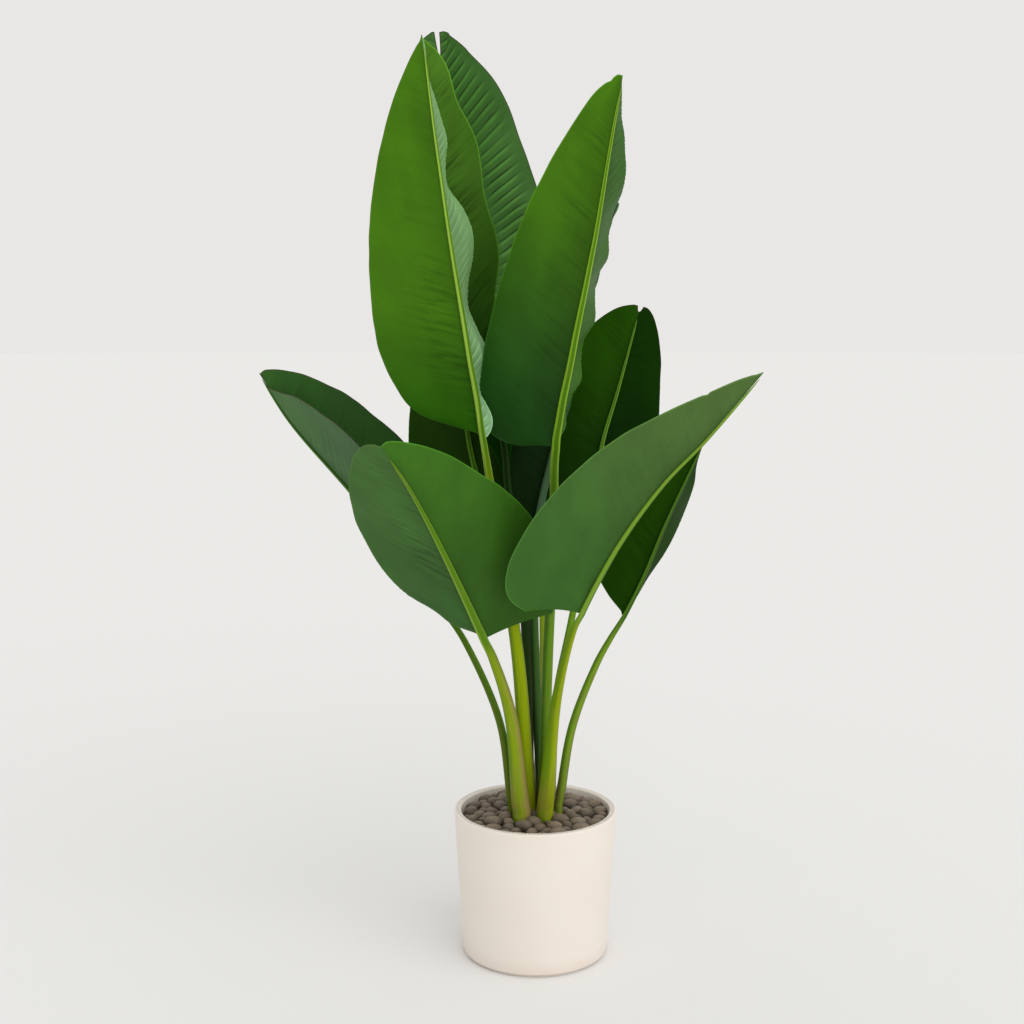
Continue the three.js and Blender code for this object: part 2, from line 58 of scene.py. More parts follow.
# Planter and filling: lengths in millimetres, tilts in radians, the rest shares
POT_FOOT_RADIUS = 110
POT_FOOT_HEIGHT = 4
POT_FLOOR = 16
SOIL_TOP = 211
ROOT_DEPTH = 160
BED_THICKNESS = 6
PEBBLE_LENGTH = (25, 36)
PEBBLE_WIDTH_SHARE = (0.7, 0.85)
PEBBLE_HEIGHT_SHARE = (0.58, 0.72)
PEBBLE_TILT = 0.3
PEBBLE_PROUD = 0.3
PEBBLE_LIFT = 3
PEBBLE_MOUND = 6
PEBBLE_TOP = 243
PEBBLE_SEED = 7
GOLDEN_ANGLE = math.pi * (3 - math.sqrt(5))
SMALL_LENGTH = (16, 22)
SMALL_WIDTH_SHARE = (0.7, 0.9)
SMALL_HEIGHT_SHARE = (0.55, 0.75)
SMALL_TILT = 0.35
SMALL_START_ANGLE = 1.3
SMALL_RISE = 2
SMALL_LIFT = 4
STONE_SHRINK = 0.93
STONE_SQUARENESS = 0.93
STONE_LUMPS = 0.05
SPREAD_STEPS = 160
STONE_ROOM = 0.95
STONE_PUSH = 0.22
STALK_ROOM = 0.92
STALK_PUSH = 0.5

# Seeded draw of the part's source
DRAW_FACTOR = 1664525
DRAW_STEP = 1013904223
DRAW_RANGE = 2**32

# Stalks and midribs: lengths in millimetres, the rest shares
RIB_FLATNESS = 0.85
WALK_STEPS = 200
STALK_SECTIONS = 90
RIB_STEP = 4
RIB_POINT = 0.06
GROOVE_DEPTH = 0.3
GROOVE_WIDTH = 0.35
FOOT_HEIGHTS = (ROOT_DEPTH + GAP, 200, PEBBLE_TOP - 8, PEBBLE_TOP)

# Blades: lengths in millimetres, the rest shares of the length
LEAST_HALF_WIDTH = 1.2
POINTED_WIDTH = 4
TIP_ROUND = 0.025
CUT_REACH = 5
LEAST_ROW_STEP = 0.3
MARGIN_UNEVENNESS = 0.005
FOLD_ROUND = 1.6
NOTCH_FROM = 0.65
NOTCH_TO = 0.92
PLEAT_FROM = 2
PLEAT_RISE = 18
PLEAT_ENDS = 0.08

# Studio: the camera stands where the photo's did, as the planter's ellipses give it, in metres
CAMERA_PLACE = (-0.0373, -2.2438, 0.998)
CAMERA_PITCH = math.radians(82.76)
CAMERA_LENS = 50.82
SENSOR_WIDTH = 36
CLIP_END = 200
FLOOR_RADIUS = 60
KEY_FROM = (0.55, -0.75, 0.75)
SKY_COLOUR = (1.0, 0.988, 0.968, 1)


def linear(text):
    """An sRGB hex colour, such as E9DFD2, as linear red, green and blue."""
    parts = [int(text[k : k + 2], 16) / 255 for k in (0, 2, 4)]
    return [p / 12.92 if p <= 0.04045 else ((p + 0.055) / 1.055) ** 2.4 for p in parts]


def half(widths, fold, curl, sweep, wave, cuts=(), notch=0):
    """One half of a blade: its half widths from foot to tip, its fold and curl in degrees, its sweep, its
    wave as height, count and phase, its cuts as place and depth, and how far it runs on past the notch."""
    return dict(widths=widths, fold=fold, curl=curl, sweep=sweep, wave=wave, cuts=cuts, notch=notch)


# Each leaf, in millimetres as in the part's source:
# rows: the source's rows along the blade, on which the cuts lie.
# root: where the stalk stands in the soil. radii: at the root, at the blade's foot and at the midrib's end.
# taper: how fast the stalk thins upwards. rib_end: the share of the blade where the midrib ends.
# path: points of stalk and midrib. foot: which of them is the blade's foot, counted from 0.
# upper: the way the upper side faces at the foot and at the tip. left and right: the blade's two halves.
# lean: how far the cross ribs run ahead, as a share of how far they run out, at the foot and at the tip.
# pleat: heights of the folds along the ribs on the left and the right half, and of the broad swells.
# stalk: tones of the light and the dark fibres and of worn skin, and how much of the skin is worn. The dark
# tone is also the painted shade on the flanks, and stalks that stand in shade, such as 02's, have tones
# darkened with painted shade.
# midrib: tones of its flanks, painted highlights, and of its band, painted shade, and the band's middle and
# half width across.
# look: tones at foot and tip of the underside's left and right half and of the upper side, the share of the
# length where the tip's tone is reached (foot_end), the spacing of the creases, their depth on each half,
# which is also how dark their painted shade is, how far out they run, the share where they are a quarter as
# deep (calm_at), how strongly the ridges on each half are painted light and shade, how dark the skin is by
# the midrib and how far out (flank), how brown the margins are, how strong the painted rim of light on the
# line inside them is, and the gloss. It takes from
# PLAIN_SKIN what it doesn't name. The tones hold painted light and shade beside the skin's own colour: a half
# seen at a slant is paler with painted sheen, such as the right half of 01, a half or a leaf that others
# shade is darker, such as the right half of 08, and part of the change from foot to tip is painted light and
# shade.
PLAIN_SKIN = dict(
    foot_end=1, crease_end=0.8, calm_at=2, ridge=(0, 0), flank=(0.85, 0.3), brown=(0, 0), pale=0.5
)
LEAVES = [
    dict(
        name="01", rows=36, root=[-12, -7], radii=[12.5, 5, 1.5], taper=1, rib_end=0.97,
        path=[
            [-12, -9, 252], [-28, -45, 490], [-58, -80, 690], [-81.5, -105, 835],
            [-115, -125, 1040], [-145, -130, 1245], [-166, -115, 1413],
        ],
        foot=3, upper=[[0, 1, 0.1], [0, 1, 0.05]],
        left=half([2.5, 8, 87, 118, 132, 131, 122, 103, 78, 52, 26, 6, 2.5], 6, 12,
            [0.1, 0.1, 0.1, 0.08, 0.1, 0.1, 0.1], [3, 2.5, 0]),
        right=half([3, 22, 40, 58, 86, 108, 110, 95, 75, 52, 28, 12, 3],
            [45, 45, 45, 52, 68, 82, 79, 70, 78.5, 85, 82.5, 76, 73,
             77, 86.5, 85, 79, 80.5, 83, 87, 88, 85, 82, 80, 79], 0,
            [0, 0.1, 0.1], [0, 1, 0]),
        lean=(0.25, 0.65), pleat=(0.1, 0.5, 0.8), stalk=("98AC02", "5A7A02", "7A8014", 0.05),
        midrib=("9CC048", "4F7C0E", -0.1, 0.55),
        look=dict(
            PLAIN_SKIN, slot="leaf_bright", left=("2B6206", "44760E"), right=("96C391", "76A464"),
            upper=("2F5F27", "2F5F27"), foot_end=0.4, spacing=6.5, crease=(0.24, 0.2), ridge=(0, 0.6),
            flank=(0.78, 0.75), brown=(0.5, 0.0), gloss=0.08, calm_at=0.6,
        ),
    ),
    dict(
        name="02", rows=24, root=[-8, 18], radii=[8, 6, 1.5], taper=1, rib_end=0.95,
        path=[
            [-9, 20, 252], [-14, 30, 490], [-27, 38, 640], [-43, 42, 740], [-53, 46, 830],
            [-106, 50, 995], [-151, 55, 1195], [-174, 50, 1440],
        ],
        foot=3, upper=[[0, 1, 0.05], [0, 1, 0]],
        left=half([2.5, 5, 12, 38, 66, 76, 75, 70, 60, 45, 25, 9, 2.5], 8, 8,
            [0, 0.2, 0.1], [4, 4, 0.3]),
        right=half([2.5, 5, 6, 24, 38, 47, 78, 73, 73, 45, 34, 13, 2.5], 8, 8,
            [0, 0.2, 0.1], [6, 5, 0]),
        lean=(0.6, 0.9), pleat=(0.3, 0.4, 1.2), stalk=("1A3606", "0E2202", "2A2A0E", 0.1),
        midrib=("1C3E08", "122C04", 0, 0.4),
        look=dict(
            PLAIN_SKIN, slot="leaf_mid", left=("073100", "48741E"), right=("073100", "48741E"),
            upper=("2F5F27", "2F5F27"), spacing=10, crease=(0.5, 0.5), crease_end=1.1, pale=0.8,
            gloss=0.04,
        ),
    ),
    dict(
        name="03", rows=24, root=[4, 40], radii=[8.5, 5, 1.5], taper=1, rib_end=0.98,
        path=[
            [5, 43, 252], [15, 105, 490], [0, 155, 740], [-32, 178, 910], [-65, 190, 1125],
            [-105, 190, 1308], [-141, 187, 1388], [-153, 183, 1421], [-154.5, 182, 1436],
        ],
        foot=2, upper=[[0, -1, 0.05], [0, -1, 0.05]],
        left=half([4, 16, 30, 51, 71, 85, 92, 88, 77, 72, 49, 21, 3], 12, -6,
            [0, 0.2, 0.45], [3, 4, 0], [], 37),
        right=half([4, 16, 29, 47, 64, 76, 84, 87, 84, 72, 48, 20, 5], 12, -6,
            [0, 0.2, 0.45], [3, 4, 0.4], [], 37),
        lean=(0.15, 0.6), pleat=(0.5, 0.5, 1.5), stalk=("93AC1E", "4F7A14", "8A8038", 0.15),
        midrib=("7FA52A", "4C7A10", 0, 0.4),
        look=dict(
            PLAIN_SKIN, slot="leaf_dark", left=("699F50", "36651F"), right=("699F50", "36651F"),
            upper=("699F50", "36651F"), spacing=8, crease=(0.12, 0.12), crease_end=1.0,
            ridge=(1.35, 1.35), flank=(0.95, 0.2), brown=(0.9, 0.9), pale=0.2, gloss=0.25,
        ),
    ),
    dict(
        name="04", rows=32, root=[11, -4], radii=[9, 6.5, 1.5], taper=1, rib_end=0.97,
        path=[
            [12, -6, 252], [19, -35, 500], [26, -70, 695], [25, -92, 823], [50, -120, 970],
            [80, -135, 1125], [105, -135, 1275], [120, -125, 1355],
        ],
        foot=3, upper=[[0.05, 1, 0.1], [0.05, 1, 0.05]],
        left=half([50, 104, 125, 131, 134, 129, 119, 101, 80, 57, 37, 15, 4], 9, 18,
            [-0.15, 0, 0.1, 0.15, 0.2, 0.2, 0.2], [3, 3, 0], [[0.92, 0.12]]),
        right=half([3, 30, 62, 92, 110, 114, 110, 100, 85, 60, 34, 14, 3.5],
            [81, 77, 73, 72, 80, 79, 74.5, 79.5, 81, 76, 79.5, 81.5, 75.5,
             78, 77, 71, 69, 71.5, 73, 77.5, 79.5, 82, 87, 91, 91.5], 0,
            [0, 0.15, 0.2], [0, 1, 0]),
        lean=(0.45, 0.7), pleat=(0.1, 0.4, 0.8), stalk=("6A9020", "3C6412", "7A7434", 0.1),
        midrib=("8CB828", "507C0E", 0.35, 0.5),
        look=dict(
            PLAIN_SKIN, slot="leaf_mid", left=("234F1A", "44740D"), right=("35640A", "2C5C04"),
            upper=("2F5F27", "2F5F27"), foot_end=0.8, spacing=7, crease=(0.16, 0.2), ridge=(0, 0.35),
            flank=(0.72, 0.6), brown=(0, 0.1), gloss=0.08,
        ),
    ),
    dict(
        name="05", rows=18, root=[12, 20], radii=[9, 7, 1.5], taper=1, rib_end=0.95,
        path=[
            [11, 23, 252], [-1, 42, 480], [-3, 50, 645], [2, 50, 700], [45, 55, 885],
            [97, 50, 1103], [128, 50, 1192],
        ],
        foot=2, upper=[[0, 1, 0.1], [0, 1, 0]],
        left=half([8, 39, 65, 66, 51, 24, 2.5], 5, 5,
            [0, 0.15, 0.2], [3, 3, 0]),
        right=half([3, 20, 46, 56, 46, 20, 4], [82, 82, 82, 83, 84, 84, 82], 0,
            [0, 0.15, 0.2], [8, 4, 0]),
        lean=(0.5, 0.7), pleat=(0.3, 0.5, 1.0), stalk=("3F6228", "244616", "4A5220", 0.1),
        midrib=("4A6A48", "3A583A", 0, 0.4),
        look=dict(
            PLAIN_SKIN, slot="leaf_dark", left=("0C2605", "24501A"), right=("3F6040", "2A5010"),
            upper=("234A1E", "234A1E"), spacing=7, crease=(0.2, 0.3), gloss=0.1,
        ),
    ),
    dict(
        name="06", rows=16, root=[-25, 23], radii=[7, 5, 1.5], taper=1, rib_end=0.95,
        path=[
            [-26, 26, 252], [-24, 48, 430], [-44, 68, 610], [-80, 80, 715], [-105, 80, 810],
            [-120, 90, 930], [-140, 90, 1060],
        ],
        foot=3, upper=[[0.05, 1, 0.05], [0.05, 1, 0]],
        left=half([31, 49, 69, 91, 102, 98, 88, 74, 56, 35, 16, 7, 2.5], 8, 5,
            [0, 0.15, 0.2], [3, 3, 0]),
        right=half([20, 60, 90, 80, 50, 16, 2.5], 8, 5,
            [0, 0.15, 0.2], [3, 3, 0.5]),
        lean=(0.5, 0.7), pleat=(0.2, 0.2, 1.0), stalk=("86B01E", "5A8412", "6A6A2A", 0.1),
        midrib=("5F8F1E", "3A6410", 0, 0.4),
        look=dict(
            PLAIN_SKIN, slot="leaf_dark", left=("24440A", "294E0E"), right=("24440A", "294E0E"),
            upper=("1E451E", "1E451E"), spacing=10, crease=(0.1, 0.1), gloss=0.06,
        ),
    ),
    dict(
        name="07", rows=18, root=[-36, -14], radii=[7.5, 4, 1.5], taper=1.5, rib_end=0.98,
        path=[
            [-38, -16, 252], [-57, -25, 385], [-111, -35, 515], [-140, -35, 560], [-188, -30, 632],
            [-286, -20, 749], [-379, -10, 855], [-427, 0, 928],
        ],
        foot=4, upper=[[0.75, -0.5, 0.44], [0.75, -0.5, 0.44]],
        left=half([5, 19, 41, 75, 105, 112, 105, 97, 80, 61, 37, 17, 5], 55, 0,
            [0, 0.2, 0.3], [3, 3, 0]),
        right=half([4, 15, 37, 77, 113, 133, 132, 108, 80, 35, 4, 3, 4], 62, 0,
            [0, 0.2, 0.3], [2, 3, 0.5]),
        lean=(0.6, 0.8), pleat=(0.5, 0.5, 1.0), stalk=("5F8E1C", "38620A", "5A6A18", 0.1),
        midrib=("4F7A2E", "2A4A18", 0, 0.4),
        look=dict(
            PLAIN_SKIN, slot="leaf_dark", left=("355C2E", "406A32"), right=("355C2E", "406A32"),
            upper=("27521A", "2C581A"), spacing=6, crease=(0.22, 0.22), crease_end=1.1,
            brown=(0.8, 0.8), pale=0.3, gloss=0.15,
        ),
    ),
    dict(
        name="08", rows=18, root=[24, 38], radii=[8, 4.5, 1.5], taper=1, rib_end=0.96,
        path=[
            [26, 41, 252], [35, 55, 400], [58, 68, 520], [95, 95, 710], [110, 120, 810],
            [135, 130, 895], [170, 140, 1025],
        ],
        foot=3, upper=[[0, 1, 0.05], [0, 1, 0]],
        left=half([72, 78, 84, 90, 94, 97, 97, 94, 84, 63, 40, 17, 4], 8, 5,
            [-0.3, 0.15, 0.3], [2, 3, 0], [], 8),
        right=half([20, 38, 57, 79, 95, 97, 90, 78, 66, 51, 35, 19, 6], 20, 10,
            [0, 0.15, 0.3], [2, 3, 0.5], [], 8),
        lean=(0.4, 0.7), pleat=(0.15, 0.15, 0.8), stalk=("7EAA1E", "4A7412", "6A6A2A", 0.1),
        midrib=("6A962A", "3F6A10", 0, 0.4),
        look=dict(
            PLAIN_SKIN, slot="leaf_dark", left=("122E04", "244E05"), right=("071F00", "0D2F00"),
            upper=("1E451E", "1E451E"), foot_end=0.8, spacing=9, crease=(0.12, 0.12), crease_end=1.0,
            brown=(0.7, 0.7), pale=0.3, gloss=0.03,
        ),
    ),
    dict(
        name="09", rows=20, root=[-22, -34], radii=[14.5, 6.5, 1.5], taper=2.2, rib_end=0.93,
        path=[
            [-24, -36, 255], [-40, -60, 405], [-66, -92, 500], [-79, -107, 534], [-134, -190, 675],
            [-176, -265, 775], [-211, -330, 843],
        ],
        foot=3, upper=[[-0.3, 0.75, 0.5], [-0.3, 0.75, 0.5]],
        left=half([4, 5, 36, 57, 90, 103, 112, 115, 98, 79, 54, 29, 8], 28, 8,
            [0.6, 0.14, -0.09, -0.1, -0.08, 0.12, 0.6], [4, 4, 0]),
        right=half([112, 120, 125, 135, 143, 138, 121, 96, 73, 50, 30, 15, 4], 6, 6,
            [-0.2, 0.1, 0.3], [2, 3, 0]),
        lean=(0.9, 1.1), pleat=(0.4, 0.08, 1.0), stalk=("8AA010", "527A04", "9A8650", 0.2),
        midrib=("86A834", "568010", -0.25, 0.7),
        look=dict(
            PLAIN_SKIN, slot="leaf_mid", left=("375F29", "446E30"), right=("315A16", "3D7019"),
            upper=("2F5F27", "2F5F27"), spacing=5, crease=(0.3, 0.03), crease_end=0.9, flank=(0.9, 0.4),
            brown=(0.4, 0), gloss=0.12,
        ),
    ),
    dict(
        name="10", rows=20, root=[15, -34], radii=[13.5, 5, 1.5], taper=2.2, rib_end=0.98,
        path=[
            [16, -36, 255], [30, -80, 430], [52, -135, 550], [62, -150, 582], [113, -210, 695],
            [171, -250, 785], [225, -290, 850], [295, -325, 940],
        ],
        foot=3, upper=[[-0.1, 0.95, 0.4], [-0.1, 0.95, 0.4]],
        left=half([75, 111, 125, 127, 123, 113, 100, 84, 65, 41, 22, 7, 3], 5, 8,
            [-0.36, 0.02, 0.11, 0.1, 0, 0, 0.02], [2, 3, 0], [[0.75, 0.05]]),
        right=half([10, 80, 105, 90, 55, 19, 3], 95, 0,
            [0, 0.1, 0.2], [3, 3, 0]),
        lean=(0.5, 0.8), pleat=(0.1, 0.3, 0.8), stalk=("97A608", "557A02", "92803A", 0.15),
        midrib=("7FA432", "4F7A10", 0, 0.5),
        look=dict(
            PLAIN_SKIN, slot="leaf_mid", left=("3B6826", "506F36"), right=("5F8A50", "6F9A60"),
            upper=("2F5F27", "2F5F27"), spacing=9, crease=(0.06, 0.1), gloss=0.12,
        ),
    ),
    dict(
        name="11", rows=16, root=[37, -8], radii=[7.5, 4, 1.5], taper=1, rib_end=0.96,
        path=[
            [39, -8, 252], [59, -3, 370], [96, 10, 465], [118, 15, 507], [140, 20, 545],
            [170, 25, 605], [205, 30, 690], [265, 35, 820],
        ],
        foot=4, upper=[[-0.1, 0.97, 0.05], [-0.1, 0.97, 0.05]],
        left=half([3, 8, 39, 71, 84, 84, 78, 67, 53, 36, 19, 10, 3], 8, 5,
            [-0.1, 0.1, 0.2], [2, 3, 0]),
        right=half([3, 8, 11, 21, 29, 47, 62, 64, 46, 19, 7, 3, 2.5], 55, 0,
            [0, 0.1, 0.2], [2, 3, 0.5]),
        lean=(0.5, 0.7), pleat=(0.1, 0.1, 0.8), stalk=("7C9A26", "507812", "6A4E34", 0.3),
        midrib=("4F7A1E", "2F5208", 0, 0.4),
        look=dict(
            PLAIN_SKIN, slot="leaf_dark", left=("173800", "1A3C00"), right=("173800", "1A3C00"),
            upper=("1E451E", "1E451E"), spacing=8, crease=(0.12, 0.12), brown=(0.2, 0.4), gloss=0.03,
        ),
    ),
]


# Curves and frames of the leaves, with the formulas of the part's source


def through(values, t):
    """A smooth curve through values at equal steps of t."""
    t = np.asarray(t, float)
    if np.isscalar(values):
        return np.full(t.shape, float(values))
    v = np.asarray(values, float)
    last = len(v) - 1
    i = np.minimum((last * t).astype(int), last - 1)
    padded = np.concatenate([[2 * v[0] - v[1]], v, [2 * v[last] - v[last - 1]]])
    slope_in = (padded[i + 2] - padded[i]) / 2
    slope_out = (padded[i + 3] - padded[i + 1]) / 2
    w = last * t - i
    rise = v[i + 1] - v[i]
    return v[i] + slope_in * w + (3 * rise - 2 * slope_in - slope_out) * w**2 + (
        slope_in + slope_out - 2 * rise
    ) * w**3


def on_path(path, t):
    """The point of a centripetal Catmull-Rom curve through path, at curve parameter t."""
    last = len(path) - 1
    i = min(int(last * t), last - 1)
    w = last * t - i
    p1, p2 = path[i], path[i + 1]
    p0 = path[i - 1] if i > 0 else 2 * p1 - p2
    p3 = path[i + 2] if i + 2 <= last else 2 * p2 - p1
    d0, d1, d2 = (max(np.linalg.norm(b - a) ** 0.5, 1e-4) for a, b in ((p0, p1), (p1, p2), (p2, p3)))
    t1 = ((p1 - p0) / d0 - (p2 - p0) / (d0 + d1) + (p2 - p1) / d1) * d1
    t2 = ((p2 - p1) / d1 - (p3 - p1) / (d1 + d2) + (p3 - p2) / d2) * d1
    return p1 + t1 * w + (3 * (p2 - p1) - 2 * t1 - t2) * w**2 + (2 * (p1 - p2) + t1 + t2) * w**3


def smooth(values):
    """A smooth change from 0 to 1 where values run from 0 to 1."""
    share = np.clip(values, 0, 1)
    return share * share * (3 - 2 * share)


def unit(vectors):
    return vectors / np.linalg.norm(vectors, axis=-1, keepdims=True)


def along(t):
    """Share of the blade's length at station t."""
    return (1 - np.cos(np.pi * t)) / 2


def station(share):
    """Station where the share of the blade's length is reached."""
    return np.arccos(np.clip(1 - 2 * share, -1, 1)) / np.pi


class Spine:
    """The curve of stalk and midrib, with equal lengths on the blade found by a fine walk along it."""

    def __init__(self, leaf):
        self.path = np.array(leaf["path"], float)
        self.foot_at = leaf["foot"] / (len(self.path) - 1)
        self.upper = np.array(leaf["upper"], float)
        self.marks = np.linspace(self.foot_at, 1, WALK_STEPS + 1)
        steps = np.diff([on_path(self.path, t) for t in self.marks], axis=0)
        self.lengths = np.concatenate([[0], np.cumsum(np.linalg.norm(steps, axis=1))])
        self.length = self.lengths[-1]

    def parameter(self, share):
        return np.interp(share * self.length, self.lengths, self.marks)

    def frames(self, parameters):
        """Places, directions, ways of the upper side, and ways to the left half."""
        small = 1e-4
        place = np.array([on_path(self.path, t) for t in parameters])
        before = np.array([on_path(self.path, max(t - small, 0)) for t in parameters])
        after = np.array([on_path(self.path, min(t + small, 1)) for t in parameters])
        ahead = unit(after - before)
        share = np.maximum(0, (parameters - self.foot_at) / (1 - self.foot_at))[:, None]
        up = self.upper[0] * (1 - share) + self.upper[1] * share
        up = unit(up - ahead * np.sum(up * ahead, axis=1, keepdims=True))
        return place, ahead, up, np.cross(ahead, up)


def keel_frames(leaf, spine, parameters, t):
    """Frames of the keel where the halves of the blade meet: place, across the halves, up into the fold."""
    place, ahead, up, left = spine.frames(parameters)
    fold_left = np.radians(through(leaf["left"]["fold"], t))[:, None]
    fold_right = np.radians(through(leaf["right"]["fold"], t))[:, None]
    across = left * (np.cos(fold_left) + np.cos(fold_right)) + up * (np.sin(fold_left) - np.sin(fold_right))
    across = unit(across)
    return place, across, unit(np.cross(across, ahead))


def ripples(seed, count=6):
    """A smooth seeded function of two numbers, from -1 to 1, whose features are about 1 across."""
    draw = np.random.default_rng(seed)
    turns = draw.uniform(0, 2 * np.pi, count)
    phases = draw.uniform(0, 2 * np.pi, count)
    rates = draw.uniform(2.2, 5.5, count)

    def value(x, y):
        parts = [np.sin(r * (x * np.cos(a) + y * np.sin(a)) + p) for a, p, r in zip(turns, phases, rates)]
        return sum(parts) / count * 1.6

    return value


# Mesh helpers


def deselect():
    if bpy.context.mode != "OBJECT":
        bpy.ops.object.mode_set(mode="OBJECT")
    bpy.ops.object.select_all(action="DESELECT")


def clear_selection(mesh):
    """Deselects the parts of a mesh, in object mode."""
    bpy.ops.object.mode_set(mode="OBJECT")
    for items in (mesh.vertices, mesh.edges, mesh.polygons):
        for item in items:
            item.select = False


def placed_grid(name, points):
    """A grid primitive of rows and columns whose vertices are moved to points, in millimetres."""
    rows, columns = points.shape[:2]
    deselect()
    bpy.ops.mesh.primitive_grid_add(x_subdivisions=columns - 1, y_subdivisions=rows - 1, size=2)
    made = bpy.context.object
    made.name = made.data.name = name
    flat = np.empty(rows * columns * 3, np.float32)
    made.data.vertices.foreach_get("co", flat)
    flat = flat.reshape(-1, 3)
    column = np.rint((flat[:, 0] + 1) / 2 * (columns - 1)).astype(int)
    row = np.rint((flat[:, 1] + 1) / 2 * (rows - 1)).astype(int)
    made.data.vertices.foreach_set("co", (points[row, column] * MM).astype(np.float32).ravel())
    made.data.update()
    return made, row, column


def put_attribute(mesh, name, values):
    """Stores one number or one vector for each vertex."""
    values = np.asarray(values, np.float32)
    kind = "FLOAT" if values.ndim == 1 else "FLOAT_VECTOR"
    attribute = mesh.attributes.new(name, kind, "POINT")
    attribute.data.foreach_set("value" if kind == "FLOAT" else "vector", values.ravel())


def finish_piece(piece, slot, *nodes):
    """Rides the piece on the plant and lets it stand for its nodes."""
    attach(piece, "root")
    if nodes:
        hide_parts(*nodes)


# Material helpers


def add_node(tree, kind, inputs=(), ramp=(), **settings):
    """Adds a shader node with its settings; a socket among its inputs is linked, a value is set."""
    made = tree.nodes.new("ShaderNode" + kind)
    for key, value in settings.items():
        setattr(made, key, value)
    for key, value in dict(inputs).items():
        if isinstance(value, bpy.types.NodeSocket):
            tree.links.new(value, made.inputs[key])
        else:
            made.inputs[key].default_value = value
    if ramp:
        stops = made.color_ramp.elements
        while len(stops) < len(ramp):
            stops.new(1)
        for stop, (position, colour) in zip(stops, ramp):
            stop.position = position
            stop.color = (*colour, 1)
    return made


def new_material(name):
    """An empty node material with its Principled shader."""
    material = bpy.data.materials.new(name)
    material.use_nodes = True
    tree = material.node_tree
    tree.nodes.clear()
    shader = add_node(tree, "BsdfPrincipled")
    output = add_node(tree, "OutputMaterial")
    tree.links.new(shader.outputs[0], output.inputs[0])
    return material, tree, shader


def blend(tree, factor, first, second, blend_type="MIX"):
    """Colour socket of a mix of two colours."""
    inputs = {0: factor, 6: first, 7: second}
    for key in (6, 7):
        if not isinstance(inputs[key], bpy.types.NodeSocket):
            inputs[key] = (*inputs[key][:3], 1)
    return add_node(tree, "Mix", inputs, data_type="RGBA", blend_type=blend_type).outputs[2]


def fade(tree, value, low, high, start=1.0, end=0.0):
    """A smooth change from start at low to end at high."""
    inputs = {0: value, 1: low, 2: high, 3: start, 4: end}
    return add_node(tree, "MapRange", inputs, interpolation_type="SMOOTHSTEP").outputs[0]


def combine(tree, operation, first, second):
    return add_node(tree, "Math", {0: first, 1: second}, operation=operation).outputs[0]


def absolute(tree, value):
    return add_node(tree, "Math", {0: value}, operation="ABSOLUTE").outputs[0]


def axes(tree, vector):
    """The three numbers of a vector."""
    return add_node(tree, "SeparateXYZ", {0: vector}).outputs


def scaled(tree, colour, factor):
    return add_node(tree, "VectorMath", {0: colour, "Scale": factor}, operation="SCALE").outputs[0]


def stretched(tree, vector, scale):
    """A vector with each axis multiplied, so that 1 is one feature of the pattern."""
    return add_node(tree, "Mapping", {"Vector": vector, "Scale": scale}, vector_type="POINT").outputs[0]


def noise(tree, vector, scale=1.0, detail=2.0, roughness=0.5):
    inputs = {"Vector": vector, "Scale": scale, "Detail": detail, "Roughness": roughness}
    return add_node(tree, "TexNoise", inputs).outputs[0]


def attribute(tree, name, output="Fac"):
    return add_node(tree, "Attribute", attribute_name=name).outputs[output]


def object_place(tree):
    return add_node(tree, "TexCoord").outputs["Object"]


def by_half(tree, on_left, pair):
    """The pair's first number on the left half of a blade and its second on the right half."""
    return add_node(tree, "MapRange", {0: on_left, 3: pair[1], 4: pair[0]}).outputs[0]


def add_bump(tree, shader, height, strength, distance):
    """Fine relief from a height pattern; distance is in metres."""
    bump = add_node(tree, "Bump", {"Height": height, "Strength": strength, "Distance": distance})
    tree.links.new(bump.outputs[0], shader.inputs["Normal"])


def tone(colour, factor, warmth=0.0):
    """A lighter or darker tone of a linear colour; warmth adds yellow."""
    red, green, blue = (channel * factor for channel in colour)
    return [red * (1 + warmth), green, blue * (1 - warmth)]


# Materials


def glaze_material(settings):
    """Glazed stoneware, cast and dipped: an even cream satin glaze, faintly mottled, with fine pinholes."""
    material, tree, shader = new_material("glazed_stoneware_cream")
    place = object_place(tree)
    cream = list(settings.colour)
    clouds = noise(tree, stretched(tree, place, (1 / 0.09,) * 3), detail=3)
    grain = noise(tree, stretched(tree, place, (1 / 0.0022,) * 3), detail=2)
    body = blend(tree, fade(tree, clouds, 0.35, 0.65, 0, 1), tone(cream, 0.985, 0.01), tone(cream, 1.01))
    body = blend(tree, fade(tree, grain, 0.68, 0.76, 0, 0.35), body, tone(cream, 0.72, 0.08))
    # A little dust just above the floor
    dust = fade(tree, axes(tree, place)[2], 0.004, 0.03, 0.35, 0)
    body = blend(tree, dust, body, tone(cream, 0.78, 0.06))
    tree.links.new(body, shader.inputs["Base Color"])
    tree.links.new(fade(tree, clouds, 0.3, 0.7, 0.42, 0.52), shader.inputs["Roughness"])
    add_bump(tree, shader, grain, 0.25, 0.0002)
    shader.inputs["IOR"].default_value = 1.5
    shader.inputs["Coat Weight"].default_value = 0.15
    shader.inputs["Coat Roughness"].default_value = 0.3
    return material


